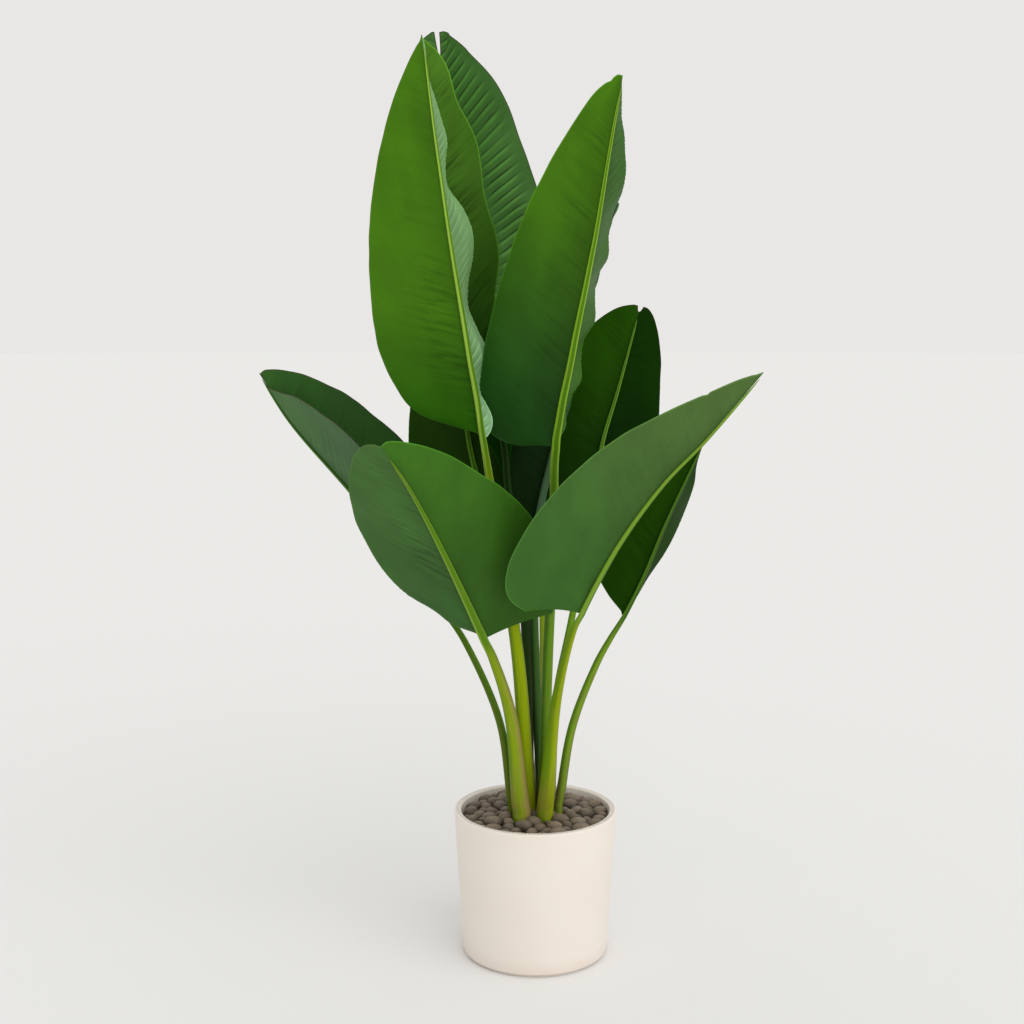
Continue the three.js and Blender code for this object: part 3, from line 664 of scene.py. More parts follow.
def soil_material(settings):
    """Potting mix of peat and fine bark: nearly black brown crumbs with a few lighter bark flakes."""
    material, tree, shader = new_material("potting_mix_peat")
    place = object_place(tree)
    soil = list(settings.soil_colour)
    crumbs = noise(tree, stretched(tree, place, (1 / 0.004,) * 3), detail=5, roughness=0.65)
    flake_place = stretched(tree, place, (1 / 0.007, 1 / 0.004, 1 / 0.004))
    flakes = add_node(tree, "TexVoronoi", {"Vector": flake_place}).outputs[0]
    body = blend(tree, crumbs, tone(soil, 0.45), tone(soil, 1.5, 0.05))
    body = blend(tree, fade(tree, flakes, 0.12, 0.22, 0.6, 0), body, tone(soil, 3.2, 0.1))
    tree.links.new(body, shader.inputs["Base Color"])
    shader.inputs["Roughness"].default_value = 0.95
    add_bump(tree, shader, crumbs, 0.9, 0.002)
    return material


def pebble_material(settings):
    """Tumbled river stone: grey-brown, each stone its own tone, mottled and finely speckled, dry and matt,
    with painted shade low on its flanks in the gaps and painted light on its top.
    """
    material, tree, shader = new_material("river_stone_tumbled")
    grain_place = attribute(tree, "grain", "Vector")
    stone = list(settings.stone_colour)
    tones = [
        (0, tone(stone, 0.6)),
        (0.35, tone(stone, 0.85, 0.03)),
        (0.7, tone(stone, 1.15, 0.02)),
        (1, tone(stone, 1.5)),
    ]
    body = add_node(tree, "ValToRGB", {0: attribute(tree, "stone_tone")}, ramp=tones).outputs[0]
    clouds = noise(tree, stretched(tree, grain_place, (1 / 0.011,) * 3), detail=4, roughness=0.6)
    specks = noise(tree, stretched(tree, grain_place, (1 / 0.0013,) * 3), detail=2)
    body = blend(tree, fade(tree, clouds, 0.3, 0.7, 0, 0.6), body, tone(stone, 0.6, 0.08))
    # Painted shade on the low flanks of the stones in the gaps, and painted light on their tops
    above = attribute(tree, "above")
    body = blend(tree, fade(tree, above, 0.1, 0.8, 0.9, 0), body, tone(stone, 0.16, 0.15))
    body = blend(tree, fade(tree, above, 0.7, 1, 0, 0.4), body, tone(stone, 1.75))
    # Light and dark mineral specks
    body = blend(tree, fade(tree, specks, 0.6, 0.7, 0, 0.5), body, tone(stone, 2.1))
    body = blend(tree, fade(tree, specks, 0.3, 0.42, 0.5, 0), body, tone(stone, 0.3))
    tree.links.new(body, shader.inputs["Base Color"])
    tree.links.new(fade(tree, clouds, 0.3, 0.7, 0.55, 0.75), shader.inputs["Roughness"])
    add_bump(tree, shader, combine(tree, "ADD", clouds, specks), 0.35, 0.0006)
    return material


def stalk_material(leaf):
    """Fresh leaf stalk: a smooth waxy green skin with long fibres, painted shade on its flanks, a midrib with
    painted highlights and shade, and a brown base.
    """
    material, tree, shader = new_material("leaf_stalk_waxy_" + leaf["name"])
    bright, dark, brown = (linear(text) for text in leaf["stalk"][:3])
    wear = leaf["stalk"][3]
    fibre = attribute(tree, "fibre", "Vector")
    height = axes(tree, object_place(tree))[2]
    across = axes(tree, fibre)[0]
    streaks = noise(tree, stretched(tree, fibre, (5, 5, 9)), detail=3)
    patches = noise(tree, stretched(tree, fibre, (0.8, 0.8, 22)), detail=3, roughness=0.6)
    body = blend(tree, fade(tree, streaks, 0.25, 0.75, 0.55, 1), dark, bright)
    # Painted shade on the stalk's two flanks, in the dark fibres' tone
    body = blend(tree, fade(tree, absolute(tree, across), 0.45, 1, 0, 0.85), body, dark)
    # The right side takes the worn skin's tone low down
    olive = fade(tree, across, -0.9, 0.1, 0.85, 0)
    olive = combine(tree, "MULTIPLY", olive, fade(tree, height, 0.3, 0.6, 1, 0))
    body = blend(tree, olive, body, brown)
    # Midrib: painted highlights on its flanks and a band of painted shade between them
    flank_tone, band_tone, middle, width = leaf["midrib"]
    flank_tone, band_tone = linear(flank_tone), linear(band_tone)
    aside = absolute(tree, combine(tree, "SUBTRACT", across, middle))
    band = fade(tree, aside, 0.6 * width, 1.3 * width, 1, 0)
    midrib = blend(tree, band, flank_tone, band_tone)
    midrib = blend(tree, fade(tree, streaks, 0.3, 0.7, 0, 0.25), midrib, band_tone)
    body = blend(tree, attribute(tree, "on_blade"), body, midrib)
    # Worn skin in patches at the base, and a few higher up
    base = fade(tree, height, 0.215, 0.34, 0.75, 0.0)
    base = combine(tree, "MULTIPLY", base, fade(tree, patches, 0.38, 0.6, 0, 1))
    body = blend(tree, base, body, brown)
    worn = combine(tree, "MULTIPLY", fade(tree, patches, 0.56, 0.66, 0, 1), wear)
    body = blend(tree, worn, body, tone(brown, 1.1))
    tree.links.new(body, shader.inputs["Base Color"])
    tree.links.new(fade(tree, streaks, 0.3, 0.7, 0.36, 0.5), shader.inputs["Roughness"])
    add_bump(tree, shader, streaks, 0.3, 0.0004)
    shader.inputs["IOR"].default_value = 1.45
    shader.inputs["Specular IOR Level"].default_value = 0.12
    return material


def rib_ridges(tree, lined, clouds, spacing):
    """Painted light and shade of the cross ribs' ridges, one for two creases: a rise in two steps to a
    painted highlight at the crest, then a drop into painted shade.
    """
    swing = combine(tree, "MULTIPLY", combine(tree, "SUBTRACT", clouds, 0.5), 0.3)
    step = combine(tree, "ADD", combine(tree, "DIVIDE", lined, 2 * spacing), swing)
    step = add_node(tree, "Math", {0: step}, operation="FRACT").outputs[0]
    rise = combine(tree, "ADD", fade(tree, step, 0.04, 0.2, 0, 0.45), fade(tree, step, 0.45, 0.8, 0, 0.55))
    return combine(tree, "MULTIPLY", rise, fade(tree, step, 0.86, 0.97, 1, 0))


def blade_light(tree, look, vein, clouds, out, share, on_left):
    """Lightness of a blade's skin, where 1 is the plain skin, with painted shade in its creases and painted
    light and shade on its rib ridges, and the height of its fine relief.
    """
    spacing = look["spacing"] * MM
    fine = noise(tree, stretched(tree, vein, (1 / 0.0022, 1 / 0.09, 1)), detail=2)
    crease = noise(tree, stretched(tree, vein, (1 / spacing, 0.1 / spacing, 1)), detail=2, roughness=0.55)
    patches = noise(tree, stretched(tree, vein, (1 / 0.05, 1 / 0.07, 1)), detail=1)
    # Painted shade in the creases, deepest by the midrib and near the foot, in patches
    depth = combine(
        tree, "MULTIPLY", by_half(tree, on_left, look["crease"]), fade(tree, out, 0.25, look["crease_end"])
    )
    depth = combine(tree, "MULTIPLY", depth, fade(tree, patches, 0.38, 0.6, 0.25, 1))
    depth = combine(tree, "MULTIPLY", depth, fade(tree, share, 0.3, look["calm_at"], 1, 0.25))
    deep, shallow = fade(tree, crease, 0.52, 0.62, 0, 1), fade(tree, crease, 0.38, 0.48, 0.5, 0)
    dip = combine(tree, "SUBTRACT", deep, shallow)
    dip = combine(tree, "MULTIPLY", dip, depth)
    # Painted light on the ridges and painted shade in their drops, between the midrib and the margin
    tall = combine(tree, "MULTIPLY", fade(tree, out, 0.5, 0.92), fade(tree, out, 0.02, 0.2, 0.3, 1))
    tall = combine(tree, "MULTIPLY", tall, fade(tree, patches, 0.3, 0.5, 0.45, 1))
    tall = combine(tree, "MULTIPLY", tall, by_half(tree, on_left, look["ridge"]))
    ridge = rib_ridges(tree, axes(tree, vein)[0], clouds, spacing)
    lift = combine(tree, "MULTIPLY", combine(tree, "SUBTRACT", ridge, 0.45), tall)
    fine_light = fade(tree, fine, 0.25, 0.75, -0.04, 0.04)
    broad_light = fade(tree, clouds, 0.3, 0.7, 0.9, 1.1)
    light = combine(tree, "ADD", fine_light, broad_light)
    light = combine(tree, "ADD", combine(tree, "SUBTRACT", light, dip), lift)
    by_midrib, reach = look["flank"]
    light = combine(tree, "MULTIPLY", light, fade(tree, out, 0.0, reach, by_midrib, 1))
    return light, combine(tree, "SUBTRACT", combine(tree, "MULTIPLY", fine, 0.4), dip)


def blade_material(leaf, settings):
    """Leaf blade: a waxy skin with cross ribs painted with light and shade, creases darkened with painted
    shade that fade out towards the margin, tones that hold painted light and shade, and a margin with a thin
    painted rim of light, dried brown at the edge on some leaves."""
    material, tree, shader = new_material("leaf_blade_waxy_" + leaf["name"])
    look = leaf["look"]
    vein = attribute(tree, "vein", "Vector")
    inset = attribute(tree, "inset")
    share = attribute(tree, "share")
    # How far out from the midrib, as a share of the way to the margin
    across = axes(tree, vein)[1]
    reach = absolute(tree, across)
    out = combine(tree, "DIVIDE", reach, combine(tree, "ADD", combine(tree, "ADD", reach, inset), 0.0001))
    on_left = fade(tree, across, -0.0008, 0.0008, 0, 1)
    clouds = noise(tree, stretched(tree, vein, (1 / 0.08, 1 / 0.06, 1)), detail=3)
    light, relief = blade_light(tree, look, vein, clouds, out, share, on_left)
    # Skin colour: each side of each half from foot to tip. These tones hold painted light and shade: a half
    # is paler with painted sheen where it is seen at a slant and darker where other leaves shade it
    reached = fade(tree, share, 0, look["foot_end"], 0, 1)
    left, right, upper = (
        blend(tree, reached, linear(look[key][0]), linear(look[key][1])) for key in ("left", "right", "upper")
    )
    body = blend(tree, on_left, right, left)
    body = blend(tree, attribute(tree, "upper_side"), body, upper)
    body = scaled(tree, body, light)
    # Margin: a thin line lightened as a painted rim of light, dried brown at its very edge
    body = blend(tree, fade(tree, inset, 0.0008, 0.0024, look["pale"], 0), body, scaled(tree, body, 2.2))
    dried = combine(tree, "MULTIPLY", by_half(tree, on_left, look["brown"]), fade(tree, inset, 0.0006, 0.002))
    body = blend(tree, dried, body, list(settings.margin_colour))
    tree.links.new(body, shader.inputs["Base Color"])
    tree.links.new(fade(tree, clouds, 0.3, 0.7, 0.42, 0.52), shader.inputs["Roughness"])
    add_bump(tree, shader, relief, 0.3, 0.0006)
    shader.inputs["IOR"].default_value = 1.45
    shader.inputs["Specular IOR Level"].default_value = look["gloss"]
    return material


# Settings


class PlanterSettings(bpy.types.PropertyGroup):
    height: bpy.props.FloatProperty(
        name="Height", description="Height of the planter", default=0.235, min=0.1, unit="LENGTH"
    )
    top_radius: bpy.props.FloatProperty(
        name="Rim radius", description="Outer radius at the rim", default=0.130, min=0.05, unit="LENGTH"
    )
    base_radius: bpy.props.FloatProperty(
        name="Base radius", description="Outer radius at the base", default=0.116, min=0.05, unit="LENGTH"
    )
    wall: bpy.props.FloatProperty(
        name="Wall", description="Thickness of the wall", default=0.011, min=0.003, unit="LENGTH"
    )
    lip_round: bpy.props.FloatProperty(
        name="Lip rounding", description="Radius of the rounded lip", default=0.003, min=0, unit="LENGTH"
    )
    foot_edge: bpy.props.FloatProperty(
        name="Foot edge", description="Rounding above the foot", default=0.0025, min=0, unit="LENGTH"
    )
    colour: bpy.props.FloatVectorProperty(
        name="Glaze", description="Colour of the glaze", subtype="COLOR", default=linear("EBE2D8")
    )


class FillingSettings(bpy.types.PropertyGroup):
    pebbles: bpy.props.IntProperty(
        name="Pebbles", description="Number of large pebbles", default=62, min=1
    )
    small_pebbles: bpy.props.IntProperty(
        name="Small pebbles", description="Number of small pebbles in the gaps", default=30, min=0
    )
    stone_colour: bpy.props.FloatVectorProperty(
        name="Stone", description="Middle colour of the pebbles", subtype="COLOR", default=linear("6D6050")
    )
    soil_colour: bpy.props.FloatVectorProperty(
        name="Soil", description="Colour of the potting mix", subtype="COLOR", default=linear("3A2A1E")
    )


class FoliageSettings(bpy.types.PropertyGroup):
    thickness: bpy.props.FloatProperty(
        name="Blade thickness",
        description="Thickness of the blades",
        default=0.001,
        min=0.0002,
        unit="LENGTH",
    )
    row_step: bpy.props.FloatProperty(
        name="Row step",
        description="Length of a mesh row along the midrib",
        default=0.002,
        min=0.001,
        unit="LENGTH",
    )
    columns: bpy.props.IntProperty(
        name="Columns", description="Mesh columns on each half of a blade", default=25, min=3
    )
    stalk_sides: bpy.props.IntProperty(
        name="Stalk sides", description="Sides of a stalk", default=20, min=6
    )
    margin_colour: bpy.props.FloatVectorProperty(
        name="Margin", description="Colour of the thin leaf margin", subtype="COLOR", default=linear("3A2420")
    )


class StageSettings(bpy.types.PropertyGroup):
    floor_colour: bpy.props.FloatVectorProperty(
        name="Floor", description="Colour of the floor", subtype="COLOR", default=linear("E9E9E8")
    )
    sky_strength: bpy.props.FloatProperty(
        name="Ambient", description="Strength of the even studio light", default=0.81, min=0
    )
    key_strength: bpy.props.FloatProperty(
        name="Key", description="Strength of the soft key light", default=1.05, min=0
    )
    key_size: bpy.props.FloatProperty(
        name="Key size",
        description="Width of the key light as seen",
        default=math.radians(70),
        subtype="ANGLE",
    )


# Operators


class PLANT_OT_planter(bpy.types.Operator):
    """Model the planter: tapered wall, rounded lip and a foot that is set in"""

    bl_idname = "plant.planter"
    bl_label = "Planter"

    def execute(self, context):
        s = context.scene.plant_planter
        foot_height = POT_FOOT_HEIGHT * MM
        taper = (s.top_radius - s.base_radius) / s.height
        deselect()
        bpy.ops.mesh.primitive_cone_add(
            vertices=160,
            radius1=s.base_radius + taper * foot_height,
            radius2=s.top_radius,
            depth=s.height - foot_height,
            end_fill_type="NGON",
            location=(0, 0, (s.height + foot_height) / 2),
        )
        pot = context.object
        pot.name = pot.data.name = "planter"
        bpy.ops.object.transform_apply(location=True, rotation=True, scale=True)

        def pick_end(top):
            clear_selection(pot.data)
            ends = [f for f in pot.data.polygons if len(f.vertices) > 4]
            end = max(ends, key=lambda f: f.center.z if top else -f.center.z)
            end.select = True
            bpy.ops.object.mode_set(mode="EDIT")
            bpy.ops.mesh.select_mode(type="FACE")

        floor = POT_FLOOR * MM
        pick_end(top=True)
        bpy.ops.mesh.inset(thickness=s.wall)
        bpy.ops.mesh.extrude_region_move(TRANSFORM_OT_translate={"value": (0, 0, floor - s.height)})
        # The inside keeps the wall's thickness down to its floor
        inner_top = s.top_radius - s.wall
        inner_low = s.base_radius + taper * floor - s.wall
        bpy.ops.transform.resize(value=(inner_low / inner_top,) * 2 + (1,), center_override=(0, 0, floor))
        pick_end(top=False)
        bpy.ops.mesh.inset(thickness=s.base_radius + taper * foot_height - POT_FOOT_RADIUS * MM)
        bpy.ops.mesh.extrude_region_move(TRANSFORM_OT_translate={"value": (0, 0, -foot_height)})

        def round_edges(near, offset, segments):
            clear_selection(pot.data)
            for edge in pot.data.edges:
                ends = [pot.data.vertices[v].co for v in edge.vertices]
                edge.select = all(near(math.hypot(p.x, p.y), p.z) for p in ends)
            bpy.ops.object.mode_set(mode="EDIT")
            bpy.ops.mesh.select_mode(type="EDGE")
            bpy.ops.mesh.bevel(offset=offset, segments=segments, affect="EDGES")

        round_edges(lambda r, z: abs(z - s.height) < 1e-5, s.lip_round, 6)
        round_edges(
            lambda r, z: abs(z - foot_height) < 1e-5 and r > POT_FOOT_RADIUS * MM + 0.001, s.foot_edge, 4
        )
        bpy.ops.object.mode_set(mode="OBJECT")
        bpy.ops.object.shade_smooth_by_angle(angle=math.radians(35))
        pot.data.materials.append(glaze_material(s))
        finish_piece(pot, "pot_glaze", "pot")
        return {"FINISHED"}


class PLANT_OT_filling(bpy.types.Operator):
    """Model the layer of river pebbles, and give the soil under it its potting mix"""

    bl_idname = "plant.filling"
    bl_label = "Pebbles and soil"

    def execute(self, context):
        s = context.scene.plant_filling
        p = context.scene.plant_planter
        low = SOIL_TOP + GAP
        taper = (p.top_radius - p.base_radius) / p.height
        inner = (p.base_radius - p.wall + taper * low * MM) / MM - 2 * GAP
        stones = self.large_stones(s.pebbles, low + BED_THICKNESS, inner)
        stones += self.small_stones(s.small_pebbles, low, inner)
        self.spread(stones, inner)
        pebbles = self.stone_meshes(context, stones)
        pebbles.data.materials.append(pebble_material(s))
        finish_piece(pebbles, "river_pebbles", "pebbles")
        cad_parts["soil"].material_slots[0].material = soil_material(s)
        return {"FINISHED"}

    def stone(self, k, share, start, inner, size, z, turn):
        """One stone on a sunflower spiral: place, half sizes and turn."""
        reach = (inner - size[0] - 1) * share
        angle = start + k * GOLDEN_ANGLE
        return dict(place=[reach * math.cos(angle), reach * math.sin(angle), z], size=size, turn=turn)

    def large_stones(self, count, high, inner):
        """The stones of the part's source, drawn in the same order."""
        state = PEBBLE_SEED

        def between(low, top):
            nonlocal state
            state = (state * DRAW_FACTOR + DRAW_STEP) % DRAW_RANGE
            return low + (top - low) * state / DRAW_RANGE

        stones = []
        for k in range(count):
            length = between(*PEBBLE_LENGTH)
            width, height = length * between(*PEBBLE_WIDTH_SHARE), length * between(*PEBBLE_HEIGHT_SHARE)
            size = [length / 2, width / 2, height / 2]
            tilts = [between(-PEBBLE_TILT, PEBBLE_TILT), between(-PEBBLE_TILT, PEBBLE_TILT)]
            turn = [*tilts, between(0, math.pi)]
            share = math.sqrt((k + 0.5) / count)
            z = high + PEBBLE_PROUD * size[2] + PEBBLE_MOUND * (1 - share**2) + between(0, PEBBLE_LIFT)
            stones.append(self.stone(k, share, 0, inner, size, z, turn))
        return stones

    def small_stones(self, count, low, inner):
        """Smaller stones in the gaps between the large ones, set a little lower."""
        draw = np.random.default_rng(PEBBLE_SEED)
        stones = []
        for k in range(count):
            length = draw.uniform(*SMALL_LENGTH)
            width = length * draw.uniform(*SMALL_WIDTH_SHARE)
            height = length * draw.uniform(*SMALL_HEIGHT_SHARE)
            share = math.sqrt((k + 0.25) / count)
            mound = PEBBLE_MOUND * (1 - share**2)
            z = low + BED_THICKNESS + SMALL_RISE + mound + draw.uniform(0, SMALL_LIFT)
            turn = [*draw.uniform(-SMALL_TILT, SMALL_TILT, 2), draw.uniform(0, math.pi)]
            size = [length / 2, width / 2, height / 2]
            stones.append(self.stone(k, share, SMALL_START_ANGLE, inner, size, z, turn))
        return stones

    def spread(self, stones, inner):
        """Pushes the stones off each other, off the stalks and off the wall, in plan, in small steps."""
        place = np.array([stone["place"][:2] for stone in stones])
        reach = np.array([0.5 * (stone["size"][0] + stone["size"][1]) for stone in stones])
        roots = np.array([leaf["root"] for leaf in LEAVES], float)
        thick = np.array([leaf["radii"][0] for leaf in LEAVES])
        for _ in range(SPREAD_STEPS):
            gap = place[:, None] - place[None]
            far = np.linalg.norm(gap, axis=2) + np.eye(len(place)) * 1e3
            need = np.maximum(0, STONE_ROOM * (reach[:, None] + reach[None]) - far)
            move = np.sum(gap / far[..., None] * need[..., None], axis=1) * STONE_PUSH
            gap = place[:, None] - roots[None]
            far = np.maximum(np.linalg.norm(gap, axis=2), 1e-3)
            need = np.maximum(0, STALK_ROOM * reach[:, None] + thick[None] - far)
            move += np.sum(gap / far[..., None] * need[..., None], axis=1) * STALK_PUSH
            place = place + move
            out = np.linalg.norm(place, axis=1)
            most = inner - reach * STONE_ROOM
            place *= np.minimum(1, most / np.maximum(out, 1e-3))[:, None]
        for stone, (x, y) in zip(stones, place):
            stone["place"][:2] = [float(x), float(y)]

    def stone_meshes(self, context, stones):
        """One round stone modelled once, then copied, each copy with its own lumps, size, turn and tone."""
        deselect()
        bpy.ops.mesh.primitive_ico_sphere_add(subdivisions=4, radius=1)
        pattern = context.object
        ball = np.empty(len(pattern.data.vertices) * 3, np.float32)
        pattern.data.vertices.foreach_get("co", ball)
        ball = ball.reshape(-1, 3).astype(float)
        draw = np.random.default_rng(PEBBLE_SEED + 1)
        copies = []
        for k, stone in enumerate(stones):
            lumps = ripples(1000 + k, 5)
            swell = lumps(ball[:, 0] * 0.5 + ball[:, 2] * 0.3, ball[:, 1] * 0.5 - ball[:, 2] * 0.2)
            shape = np.sign(ball) * np.abs(ball) ** STONE_SQUARENESS * (1 + STONE_LUMPS * swell)[:, None]
            shape = shape * np.array(stone["size"]) * STONE_SHRINK
            rx, ry, rz = stone["turn"]
            turn = Matrix.Rotation(rx, 3, "X") @ Matrix.Rotation(ry, 3, "Y") @ Matrix.Rotation(rz, 3, "Z")
            placed = shape @ np.array(turn).T + np.array(stone["place"])
            copy = pattern.copy()
            copy.data = pattern.data.copy()
            context.collection.objects.link(copy)
            copy.data.vertices.foreach_set("co", (placed * MM).astype(np.float32).ravel())
            put_attribute(copy.data, "stone_tone", np.full(len(ball), draw.uniform(0, 1)))
            put_attribute(copy.data, "grain", shape * MM + draw.uniform(-1, 1, 3))
            # How high on its stone each point lies, which places the painted shade in the gaps and the
            # painted light on the tops
            put_attribute(copy.data, "above", (placed[:, 2] - stone["place"][2]) / stone["size"][2])
            copies.append(copy)
        bpy.data.objects.remove(pattern)
        deselect()
        for copy in copies:
            copy.select_set(True)
        context.view_layer.objects.active = copies[0]
        bpy.ops.object.join()
        pebbles = context.object
        pebbles.name = pebbles.data.name = "river_pebbles"
        bpy.ops.object.shade_smooth()
        return pebbles


class PLANT_OT_stalks(bpy.types.Operator):
    """Model the stalks, each with its midrib under the blade"""

    bl_idname = "plant.stalks"
    bl_label = "Stalks and midribs"

    def execute(self, context):
        s = context.scene.plant_foliage
        for leaf in LEAVES:
            self.stalk(leaf, s)
        return {"FINISHED"}

    def drop(self, radius, thickness):
        """How far the midrib's axis lies under the blade's middle sheet."""
        return math.sin(math.pi / 3) * RIB_FLATNESS * radius + thickness / MM / 2 + GAP

    def sections(self, leaf, thickness):
        """Cross-sections from the soil to the midrib's point: their centres, their two directions, radius,
        flatness, depth of the groove, and how much they belong to the midrib."""
        spine = Spine(leaf)
        root, foot, end = leaf["radii"]
        # Stalk: from the pebbles to the blade's foot
        share = np.linspace(0, 1, STALK_SECTIONS, endpoint=False)
        place, across, up = keel_frames(leaf, spine, spine.foot_at * share, np.zeros(STALK_SECTIONS))
        radius = foot + (root - foot) * (1 - share) ** leaf["taper"]
        meet = np.maximum(0, 2 * share - 1) ** 2
        place = place - up * (self.drop(radius, thickness) * meet)[:, None]
        flat = 1 + (RIB_FLATNESS - 1) * meet
        groove = GROOVE_DEPTH * np.clip(share / 0.3, 0, 1) * np.clip((1 - share) / 0.15, 0, 1)
        # Foot in the soil, straight up to the path's start
        level = unit(across[0] * (1, 1, 0))
        upright = np.cross(level, (0, 0, 1))
        base = np.array([[*leaf["root"], z] for z in FOOT_HEIGHTS])
        count = len(base)
        # Midrib: from the blade's foot to its point
        rib_rows = int(spine.length / RIB_STEP)
        rib_share = np.linspace(0, leaf["rib_end"], rib_rows)
        rib_place, rib_across, rib_up = keel_frames(
            leaf, spine, spine.parameter(rib_share), station(rib_share)
        )
        rib_radius = foot + (end - foot) * rib_share / leaf["rib_end"]
        rib_place = rib_place - rib_up * self.drop(rib_radius, thickness)[:, None]
        point = np.clip((leaf["rib_end"] - rib_share) / RIB_POINT, 0, 1) ** 0.6
        rib_radius = rib_radius * (0.12 + 0.88 * point)
        parts = (
            (base, place, rib_place),
            (np.tile(level, (count, 1)), across, rib_across),
            (np.tile(upright, (count, 1)), up, rib_up),
            (np.full(count, root), radius, rib_radius),
            (np.ones(count), flat, np.full(rib_rows, RIB_FLATNESS)),
            (np.zeros(count), groove, np.zeros(rib_rows)),
            (np.zeros(count), meet, np.ones(rib_rows)),
        )
        return [np.concatenate(part) for part in parts]

    def stalk(self, leaf, s):
        centre, side, over, radius, flat, groove, on_blade = self.sections(leaf, s.thickness)
        angle = -2 * np.pi * np.arange(s.stalk_sides + 1) / s.stalk_sides
        dent = 1 - groove[:, None] * np.exp(-(((np.sin(angle) - 1) / GROOVE_WIDTH) ** 2))[None]
        points = (
            centre[:, None]
            + side[:, None] * (radius[:, None] * np.cos(angle))[..., None]
            + over[:, None] * ((radius * flat)[:, None] * np.sin(angle) * dent)[..., None]
        )
        rod, row, column = placed_grid("stalk_and_midrib_" + leaf["name"], points)
        run = np.concatenate([[0], np.cumsum(np.linalg.norm(np.diff(centre, axis=0), axis=1))]) * MM
        fibre = np.stack([np.cos(angle)[column], np.sin(angle)[column], run[row]], axis=1)
        put_attribute(rod.data, "fibre", fibre)
        put_attribute(rod.data, "on_blade", on_blade[row])
        # Close the tube's seam and its two ends
        bpy.ops.object.mode_set(mode="EDIT")
        bpy.ops.mesh.select_all(action="SELECT")
        bpy.ops.mesh.remove_doubles(threshold=1e-5)
        bpy.ops.mesh.fill_holes(sides=0)
        bpy.ops.mesh.normals_make_consistent(inside=False)
        bpy.ops.object.mode_set(mode="OBJECT")
        bpy.ops.object.shade_smooth_by_angle(angle=math.radians(60))
        rod.data.materials.append(stalk_material(leaf))
        finish_piece(rod, "leaf_stalk", "stalk_" + leaf["name"])


